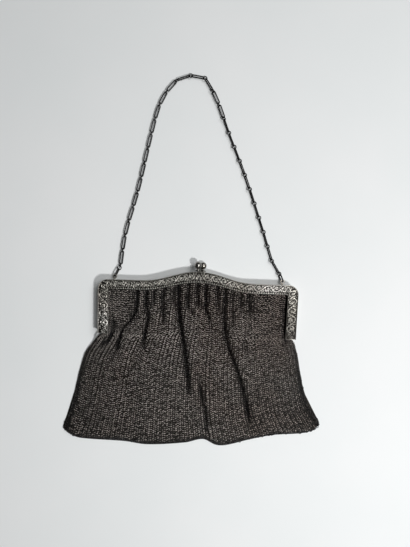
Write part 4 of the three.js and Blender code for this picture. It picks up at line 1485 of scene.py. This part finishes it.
@dataclass
class MeshBag:
    """The bag: a front layer of real rings and a plain back layer under it."""

    outline: FrameOutline
    drop: float = 117.9
    tuck: float = 2.5
    hinge_gap: float = 0.3
    hinge_line_rise: float = 0.5
    rise_run: float = 4.0
    side_reach: float = 13.0
    hem_reach: float = 7.0
    neck_reach: float = 4.0
    edge_start: float = 0.14
    edge_height: float = 0.65
    neck_height: float = 3.8
    # Painted shade near the closed edges: how far it reaches and how strong it is.
    side_shade_reach: float = 6.5
    hem_shade_reach: float = 4.0
    edge_shade: float = 0.7
    edge_below: float = 7.0
    pull_across: float = 16.0
    pull_down: float = 20.0
    pull_up: float = 5.0
    pull_narrow: float = 0.8
    right_pull: float = 0.3
    # Tones of alternate lines where the mesh is pulled: painted shade on every other line.
    pulled_tones: tuple[float, float] = (0.25, 1.0)
    tone_wander: float = 0.6
    # Where on each ring wire the painted highlight, partly wear, starts, and how far it is turned
    # towards the lamps.
    rubbed_start: float = 0.7
    rubbed_skew: float = 35.0
    line_wander: float = 0.4
    # Painted shade towards both sides of the bag.
    side_dull: float = 0.3
    fan_depth: float = 0.3
    fan_width: float = 0.06
    fold_depth: float = 4.0
    fold_width: float = 1.2
    crease_share: float = 0.6
    crease_reach: float = 1.1
    shoulder_share: float = 0.22
    shoulder_place: float = 2.6
    fade_in: float = 0.33
    held_fold_share: float = 0.6
    most_swell: float = 0.5
    swell_heights: tuple[float, float, float] = (0.35, 0.25, 0.2)
    swell_across: tuple[float, float, float] = (9.0, 31.0, 4.1)
    swell_down: tuple[float, float, float] = (23.0, 13.0, 37.0)
    swell_bend: float = 1.3
    swell_start: float = 0.6
    swell_reach: float = 30.0
    shade_depth: float = 2.6
    floor_height: float = 2.6
    floor_fall: float = 1.2
    floor_fall_start: float = 0.5
    mouth_share: float = 0.3
    gather_share: float = 0.3
    columns: int = 113
    rows: int = 80
    ring_radius: float = 0.92
    ring_wire: float = 0.23
    ring_steps: int = 10
    wire_sides: int = 3
    ring_lean: float = 42.0
    lean_wander: float = 8.0
    turn_wander: float = 7.0
    place_wander: tuple[float, float, float] = (0.108, 0.18, 0.036)
    edge_lean: float = 0.45
    seed: int = 11
    layer_half: float = 1.0
    back_inset: float = 0.0008
    back_rise: float = 1.35
    back_rest: float = 0.1
    back_thickness: float = 0.7
    flat_share: float = 0.8
    back_columns: int = 150
    back_rows: int = 110
    pieces: int = 4
    dense_rows: int = 420
    dense_columns: int = 1100

    def __post_init__(self) -> None:
        """Works out the levels that follow from the sizes."""
        self.mouth_half = self.outline.inner_half_width + self.tuck
        self.hinge_line = self.outline.arm_end - self.hinge_gap
        self.skirt_drop = self.outline.arm_end - (self.outline.straight_bottom - self.drop)
        self.skirt = table_columns(SKIRT)
        self.hem = table_columns(HEM)
        self.heights = table_columns(HEIGHTS)

    def side_levels(self, down: Array) -> tuple[Array, Array]:
        """Left and right edges of the bag.

        Args:
            down: Shares of the way from the arm ends to the hem.

        Returns:
            X of the left edge and of the right one.
        """
        half = self.outline.half_width
        left = -table_curve(self.skirt["down"], self.skirt["left"], down) * half
        right = table_curve(self.skirt["down"], self.skirt["right"], down) * half
        return left, right

    def plan(self, across: Array, row: Array) -> tuple[Array, Array, Array]:
        """Places of the layer seen from the front.

        Between the arms the lines of rings run straight down. Below them they fan out: a place
        moves from where it was between the arms to its share of the bag's width, eased over the
        first part of the way, and the outermost lines move at once with the bag's edge.

        Args:
            across: Share from the left edge to the right one.
            row: Share from the band to the hem.

        Returns:
            X, Y, and the share of the way from the arm ends to the hem, below 0 above them.
        """
        outline = self.outline
        side = 2 * across - 1
        hinge = self.hinge_line + (
            outline.crest_share(self.mouth_half * side) * outline.crest_rise * self.hinge_line_rise
        )
        mouth = np.clip(row / self.mouth_share, 0, 1)
        down = np.clip((row - self.mouth_share) / (1 - self.mouth_share), 0, 1)
        mouth_x = (self.mouth_half - outline.arm_taper * mouth) * side
        mouth_y = outline.lower(mouth_x) + self.tuck
        mouth_y = mouth_y + (hinge - mouth_y) * mouth
        left, right = self.side_levels(down)
        eased = smooth(down / self.fan_depth)
        fanned = left + (right - left) * across
        narrow = self.mouth_half - outline.arm_taper
        x = mouth_x + (fanned - mouth_x) * eased
        x = x + (left + narrow) * (1 - eased) * np.exp(-((across / self.fan_width) ** 2))
        x = x + (right - narrow) * (1 - eased) * np.exp(-(((1 - across) / self.fan_width) ** 2))
        drop = table_curve(self.hem["across"], self.hem["drop"], across) * self.drop
        hem = outline.straight_bottom - drop
        below = row > self.mouth_share
        return (
            np.where(below, x, mouth_x),
            np.where(below, hinge + (hem - hinge) * down, mouth_y),
            np.where(below, down, mouth - 1),
        )

    def press(self, x: Array, y: Array) -> Array:
        """How deep the folds press into the front layer.

        Each fold's valley runs on a smooth curve through its places. Across it the depth is a
        sharp crease, the exponential of the distance, and a soft valley, the exponential of
        its square, less a wide low swell on both sides. The depth fades over the last part of
        the valley.

        Args:
            x: Places across the bag.
            y: Places down it.

        Returns:
            The depths.
        """
        level = (self.outline.straight_bottom - y) / self.drop
        total = np.zeros(x.shape)
        for fold in FOLDS:
            centre = table_curve(np.array(fold.down), np.array(fold.across), level)
            away = np.abs(x - centre * self.outline.half_width) / (self.fold_width * fold.wide)
            share = (level - fold.down[0]) / (fold.down[-1] - fold.down[0])
            fade = 1 - smooth((share - 1 + fold.fade) / fold.fade)
            if fold.fades_in:
                fade = fade * smooth(share / self.fade_in)
            valley = (
                self.crease_share * np.exp(-away / self.crease_reach)
                + (1 - self.crease_share) * np.exp(-(away**2) / 2)
                - self.shoulder_share * np.exp(-((away - self.shoulder_place) ** 2) / 2)
            )
            total = total + self.fold_depth * fold.deep * valley * fade
        return total

    def swell(self, x: Array, y: Array) -> Array:
        """The layer's own soft unevenness, as three sine waves.

        One runs across the layer and bends with the level, one runs down it, and a fine one
        fades with the distance below the band.

        Args:
            x: Places across the bag.
            y: Places down it.

        Returns:
            Heights above the even layer.
        """
        wide, long, fine = self.swell_heights
        across = [x / length for length in self.swell_across]
        down = [y / length for length in self.swell_down]
        by_band = np.exp((y - self.outline.straight_bottom) / self.swell_reach)
        return (
            wide * np.sin(across[0] + self.swell_bend * np.sin(down[0]))
            + long * np.sin(down[1] + across[1] + self.swell_start)
            + fine * np.sin(across[2] - down[2]) * by_band
        )

    def from_frame(self, x: Array, y: Array) -> Array:
        """Distance from the frame: inside its opening or below its arms, whichever is more.

        Args:
            x: Places across the bag.
            y: Places down it.

        Returns:
            The distances, below 0 behind the frame.
        """
        outline = self.outline
        inside = np.minimum(
            outline.lower(x) - y, outline.inner_half_width - outline.lean(y) - np.abs(x)
        )
        return np.maximum(inside, outline.arm_end - y)

    def front(self, across: Array, row: Array) -> Array:
        """Middle of the front layer's thickness.

        It comes out from behind the frame, stands free, goes down towards the hem, follows the
        folds, and comes down to the surface at the closed edges.

        Args:
            across: Share from the left edge to the right one.
            row: Share from the band to the hem.

        Returns:
            The places, with X, Y and Z last.
        """
        x, y, down = self.plan(across, row)
        free = smooth(self.from_frame(x, y) / self.rise_run)
        held = np.clip(down, 0, 1)
        level = (self.outline.straight_bottom - y) / self.drop
        height = table_curve(self.heights["down"], self.heights["height"], np.clip(level, 0, 1))
        height = height * self.outline.thickness
        behind = self.outline.thickness - self.outline.face_thickness - self.outline.gap
        top = behind + (height - behind) * free
        share = self.held_fold_share + (1 - self.held_fold_share) * free
        pressed = (self.press(x, y) - self.swell(x, y)) * share
        z = top - self.layer_half - np.maximum(pressed, -self.most_swell)
        fallen = smooth((held - self.floor_fall_start) / (1 - self.floor_fall_start))
        z = np.maximum(z, self.floor_height - self.floor_fall * fallen)
        edge = self.edge_height + (self.neck_height - self.edge_height) * (
            1 - smooth(held / self.edge_start)
        )
        z = np.where(down > 0, edge + (z - edge) * self.edge_share(x, down), z)
        return np.stack([x, y, z], axis=-1)

    def edge_share(self, x: Array, down: Array) -> Array:
        """How far the layer has risen from its closed edges, as a parabola.

        Args:
            x: Places across the bag.
            down: Shares of the way from the arm ends to the hem, below 0 above them.

        Returns:
            Shares, 0 at a closed edge and 1 away from it and above the arm ends.
        """
        held = np.clip(down, 0, 1)
        left, right = self.side_levels(held)
        widened = smooth(held / self.edge_start)
        reach = self.neck_reach + (self.side_reach - self.neck_reach) * widened
        from_edge = np.minimum(np.minimum(x - left, right - x) / reach,
                               (1 - held) * self.skirt_drop / self.hem_reach)
        share = np.where(down > 0, np.clip(from_edge, 0, 1), 1)
        return 1 - (1 - share) ** 2

    def ring_places(self) -> tuple[Array, Array, Array]:
        """Middles of the rings and the directions of the layer there.

        The layer is worked out on a dense grid. Lines of rings are set at equal steps along its
        rows, where the depth of a fold counts only in part, so that the lines stay straight.
        Rings are set at equal steps along those lines, every other line half a step on.

        Returns:
            Middles, directions across the lines and directions down them, lines by rings by
            axes.
        """
        row = np.linspace(0, 1, self.dense_rows)[:, None]
        across = np.linspace(0, 1, self.dense_columns)[None, :]
        across, row = np.broadcast_arrays(across, row)
        dense = self.front(across, row)
        lines = evenly_spaced(dense, 2 * self.columns + 1, self.gather_share)
        lines = lines.transpose(1, 0, 2)
        net = evenly_spaced(lines, 2 * self.rows + 2)
        line = 2 * np.arange(self.columns)[:, None] + 1
        ring = 2 * np.arange(self.rows)[None, :] + 1 - (np.arange(self.columns)[:, None] % 2)
        ring = np.clip(ring, 1, 2 * self.rows)
        across_way = net[line + 1, ring] - net[line - 1, ring]
        down_way = net[line, ring + 1] - net[line, ring - 1]
        return net[line, ring], across_way, down_way

    def ring_state(self, middles: Array) -> tuple[Array, Array, Array]:
        """What the place of each ring does to it.

        It gets painted shade near the closed edges, in the folds and, by a square, towards both
        sides.
        The pull of an arm's end is a bell curve of the distance from it.

        Args:
            middles: Middles of the rings, lines by rings by axes.

        Returns:
            How much painted shade it gets from 0 to 1, the share of its lean that it keeps, and
            how much the mesh is pulled along its lines there, from 0 to 1.
        """
        x, y = middles[..., 0], middles[..., 1]
        below = self.hinge_line - y
        from_left = x - x[:1]
        from_right = x[-1:] - x
        # Painted shade near the closed edges, in the folds and towards both sides.
        is_side = smooth(below / self.edge_below)
        side = 1 - np.minimum(from_left, from_right) / self.side_shade_reach
        hem = 1 - (y - y[:, -1:]) / self.hem_shade_reach
        edge = np.maximum(is_side * smooth(side), smooth(hem))
        fold = np.clip(self.press(x, y) / self.shade_depth, 0, 1)
        side_shading = self.side_dull * np.clip(np.abs(x) / self.outline.half_width, 0, 1) ** 2
        shade = np.maximum(np.maximum(fold, self.edge_shade * edge), side_shading)
        left_pull = np.exp(-((from_left / self.pull_across) ** 2))
        right_pull = self.right_pull * np.exp(-((from_right / self.pull_across) ** 2))
        reach = np.where(below > 0, self.pull_down, self.pull_up)
        pull = (left_pull + right_pull) * np.exp(-((below / reach) ** 2))
        return shade, 1 - (1 - self.edge_lean) * np.maximum(edge, pull), pull

    def rings(self) -> list[Shell]:
        """The rings of the front layer, in a few shells side by side.

        A ring is a circle of wire. It is spanned by the direction across the lines and by one
        that leans out of the layer, forwards and backwards in turn from line to line, so that
        each ring goes through its four neighbours. Each ring and each line is a little off its
        even place. The wire gets a painted highlight, partly wear, where it stands out of the
        layer, more on the side towards the lamps, and painted shade below. Beside the arms'
        ends the mesh is pulled, so its rings are narrow, and every other line gets painted
        shade, so that its lines, light and dark in turn, show.

        Returns:
            The shells from left to right, with the values named tone and shade.
        """
        middles, across_way, down_way = self.ring_places()
        rng = np.random.default_rng(self.seed)
        count = middles.shape[:2]
        shade, lean_share, pull = self.ring_state(middles)
        middles = middles + rng.normal(0, 1, middles.shape) * self.place_wander
        across_unit = unit(across_way)
        normal = unit(np.cross(down_way, across_unit))
        down_unit = np.cross(across_unit, normal)
        along = self.line_wander * rng.uniform(-1, 1, self.columns)
        middles = middles + along[:, None, None] * down_unit
        lean = self.ring_lean * lean_share + self.lean_wander * rng.standard_normal(count)
        lean = np.radians(lean) * np.where(np.arange(self.columns) % 2, 1, -1)[:, None]
        leaning = down_unit * np.cos(lean)[..., None] + normal * np.sin(lean)[..., None]
        twist = np.radians(self.turn_wander * rng.standard_normal(count))[..., None]
        axis = np.cross(across_unit, leaning)
        across_unit = across_unit * np.cos(twist) + axis * np.sin(twist)
        axis = np.cross(across_unit, leaning)
        start = rng.uniform(0, 2 * math.pi, count)
        turn = np.linspace(0, 2 * math.pi, self.ring_steps, endpoint=False)
        turn = start[..., None] + turn
        # Painted highlight, partly wear, where the wire stands out of the layer and faces the lamps
        # on the right, and painted shade below.
        skew = math.radians(self.rubbed_skew)
        stands_out = np.sin(turn) * np.sin(lean)[..., None] / math.sin(math.radians(self.ring_lean))
        raised = math.cos(skew) * stands_out + math.sin(skew) * np.cos(turn)
        worn_and_lit = smooth((raised - self.rubbed_start) / (1 - self.rubbed_start))
        tone = 1 - worn_and_lit * (1 - self.tone_wander * rng.uniform(0, 1, count))[..., None]
        # Painted shade on every other line where the mesh is pulled.
        pulled = np.array(self.pulled_tones)[np.arange(self.columns) % 2][:, None]
        tone = tone + (pulled - tone.mean(axis=2))[..., None] * pull[..., None]
        wide = 1 - self.pull_narrow * pull
        out = (
            (wide[..., None] * np.cos(turn))[..., None] * across_unit[:, :, None]
            + np.sin(turn)[..., None] * leaning[:, :, None]
        )
        section = np.linspace(0, 2 * math.pi, self.wire_sides, endpoint=False)
        reach = self.ring_radius + self.ring_wire * np.cos(section)
        points = (
            middles[:, :, None, None]
            + out[:, :, :, None] * reach[:, None]
            + axis[:, :, None, None] * (self.ring_wire * np.sin(section))[:, None]
        )
        one = grid_faces(self.ring_steps, self.wire_sides, True, True)
        corners = self.ring_steps * self.wire_sides
        shells = []
        for part in np.array_split(np.arange(self.columns), self.pieces):
            chosen = points[part].reshape(-1, 3)
            number = len(part) * self.rows
            faces = (one[None] + corners * np.arange(number)[:, None, None]).reshape(-1, 4)
            values = {
                "tone": np.repeat(tone[part].ravel(), self.wire_sides),
                "shade": np.repeat(shade[part].ravel(), corners),
            }
            shells.append(Shell(chosen, [faces], values))
        return shells

    def back(self) -> Shell:
        """The back layer: a closed thin sheet that lies on the surface.

        It has the front layer's plan, drawn in a little at its edges. Near the frame it rises
        over the frame's back plate. Its first rows are its top, from the frame to the hem, and
        its last ones its underside, on the way back.

        Returns:
            The closed sheet.
        """
        side = np.linspace(self.back_inset, 1 - self.back_inset, self.back_columns)[None, :]
        down = np.linspace(self.back_inset, 1 - self.back_inset, self.back_rows)[:, None]
        across, row = np.broadcast_arrays(side, down)
        x, y, _ = self.plan(across, row)
        free = smooth(self.from_frame(x, y) / self.rise_run)
        low = self.back_rise + (self.back_rest - self.back_rise) * free
        top = np.stack([x, y, low + self.back_thickness], axis=-1)
        under = np.stack([x, y, low], axis=-1)[::-1]
        return capped(np.concatenate([top, under], axis=0).transpose(1, 0, 2)[::-1])

    def build(self, finishes: Finishes) -> None:
        """Makes both layers.

        Args:
            finishes: The purse's materials.
        """
        pieces = [
            add_piece(f"ring_mesh_{number}", shell, finishes.ring_mesh, ["mesh_bag"])
            for number, shell in enumerate(self.rings(), start=1)
        ]
        back = add_piece("bag_back", self.back(), finishes.back_mesh, ["mesh_bag"])


# Surroundings


@dataclass
class Studio:
    """The pale surface, the soft light and the camera."""

    camera_place: tuple[float, float, float] = (4.64, 2.95, 316.0)
    camera_turn: float = 1.93
    lens: float = 27.0
    nearest: float = 0.01
    farthest: float = 10.0
    floor_size: float = 3000.0
    floor_drop: float = 0.2
    floor_clouds: float = 9.0
    cloud_span: tuple[float, float] = (0.35, 0.65)
    floor_colours: tuple[Colour, Colour] = ((0.79, 0.81, 0.81, 1.0), (0.82, 0.83, 0.83, 1.0))
    floor_roughness: float = 0.8
    floor_shine: float = 0.2
    key_direction: tuple[float, float, float] = (0.49, -0.39, 1.0)
    key_distance: float = 720.0
    key_size: float = 65.0
    key_power: float = 2.95
    fill_direction: tuple[float, float, float] = (0.55, 0.27, 1.0)
    fill_distance: float = 1500.0
    fill_size: float = 850.0
    fill_power: float = 9.4
    bright_way: tuple[float, float, float] = (0.55, 0.3, 0.8)
    bright_narrow: float = 4.0
    bright_level: float = 0.35
    dim_level: float = 0.05
    sky_colour: Colour = (0.96, 0.99, 1.0, 1.0)

    def floor(self) -> None:
        """A wide pale surface just under the purse."""
        half = self.floor_size / 2
        corners = [[-half, -half], [half, -half], [half, half], [-half, half]]
        points = np.array([[x, y, -self.floor_drop] for x, y in corners])
        made = make_mesh("floor", Shell(points, [np.array([[0, 1, 2, 3]])]))
        material = bpy.data.materials.new("pale_surface")
        material.use_nodes = True
        nodes = Nodes(material.node_tree)
        place = material.node_tree.nodes.new("ShaderNodeTexCoord").outputs["Object"]
        cloud = nodes.ramp(nodes.noise(self.floor_clouds, 3.0, place), *self.cloud_span)
        shader = material.node_tree.nodes["Principled BSDF"]
        nodes.feed(shader.inputs["Base Color"], nodes.mix(cloud, *self.floor_colours))
        shader.inputs["Roughness"].default_value = self.floor_roughness
        shader.inputs["Specular IOR Level"].default_value = self.floor_shine
        made.data.materials.append(material)

    def lamp(
        self, name: str, direction: tuple[float, float, float], distance: float, size: float,
        power: float,
    ) -> None:
        """A round lamp that faces the purse.

        Args:
            name: The lamp's name.
            direction: The way from the purse to it.
            distance: How far away it is, in millimetres.
            size: How wide it is, in millimetres.
            power: Its power in watts.
        """
        way = unit(np.array(direction))
        lamp = bpy.data.lights.new(name, "AREA")
        lamp.shape = "DISK"
        lamp.size = size * MM
        lamp.energy = power
        made = bpy.data.objects.new(name, lamp)
        made.location = tuple(way * distance * MM)
        turn = math.atan2(math.hypot(way[0], way[1]), way[2])
        made.rotation_euler = (turn, 0.0, math.atan2(way[1], way[0]) + math.pi / 2)
        bpy.context.scene.collection.objects.link(made)

    def sky(self) -> None:
        """A dim sky that is bright towards the right.

        Its strength is the dim level plus the bright level times a power of the cosine between
        the way of a ray and the bright way.
        """
        world = bpy.data.worlds.new("sky")
        world.use_nodes = True
        nodes = Nodes(world.node_tree)
        way = world.node_tree.nodes.new("ShaderNodeTexCoord").outputs["Generated"]
        cosine = world.node_tree.nodes.new("ShaderNodeVectorMath")
        cosine.operation = "DOT_PRODUCT"
        nodes.feed(cosine.inputs[0], way)
        nodes.feed(cosine.inputs[1], tuple(unit(np.array(self.bright_way))))
        ahead = nodes.math("MAXIMUM", cosine.outputs["Value"], 0.0)
        lobe = nodes.math("MULTIPLY", nodes.math("POWER", ahead, self.bright_narrow),
                          self.bright_level)
        background = world.node_tree.nodes["Background"]
        background.inputs["Color"].default_value = self.sky_colour
        nodes.feed(background.inputs["Strength"], nodes.math("ADD", lobe, self.dim_level))
        bpy.context.scene.world = world

    def camera(self) -> None:
        """The camera straight above the purse, turned as in the photograph."""
        lens = bpy.data.cameras.new("camera")
        lens.lens = self.lens
        lens.clip_start = self.nearest
        lens.clip_end = self.farthest
        made = bpy.data.objects.new("camera", lens)
        made.location = tuple(np.array(self.camera_place) * MM)
        made.rotation_euler = (0.0, 0.0, math.radians(self.camera_turn))
        bpy.context.scene.collection.objects.link(made)
        bpy.context.scene.camera = made

    def build(self) -> None:
        """Sets up the surroundings."""
        self.floor()
        self.lamp("key", self.key_direction, self.key_distance, self.key_size, self.key_power)
        self.lamp("fill", self.fill_direction, self.fill_distance, self.fill_size, self.fill_power)
        self.sky()
        self.camera()
        bpy.context.scene.view_settings.view_transform = "Standard"


def main() -> None:
    """Builds the purse and its surroundings."""
    logging.basicConfig(level=logging.INFO, format="%(name)s %(message)s")
    finishes = Finishes()
    outline = FrameOutline()
    for part in (ClaspFrame(outline), KissLock(outline), CarryingChain(outline), MeshBag(outline)):
        part.build(finishes)
    Studio().build()


if __name__ == "__main__":
    main()
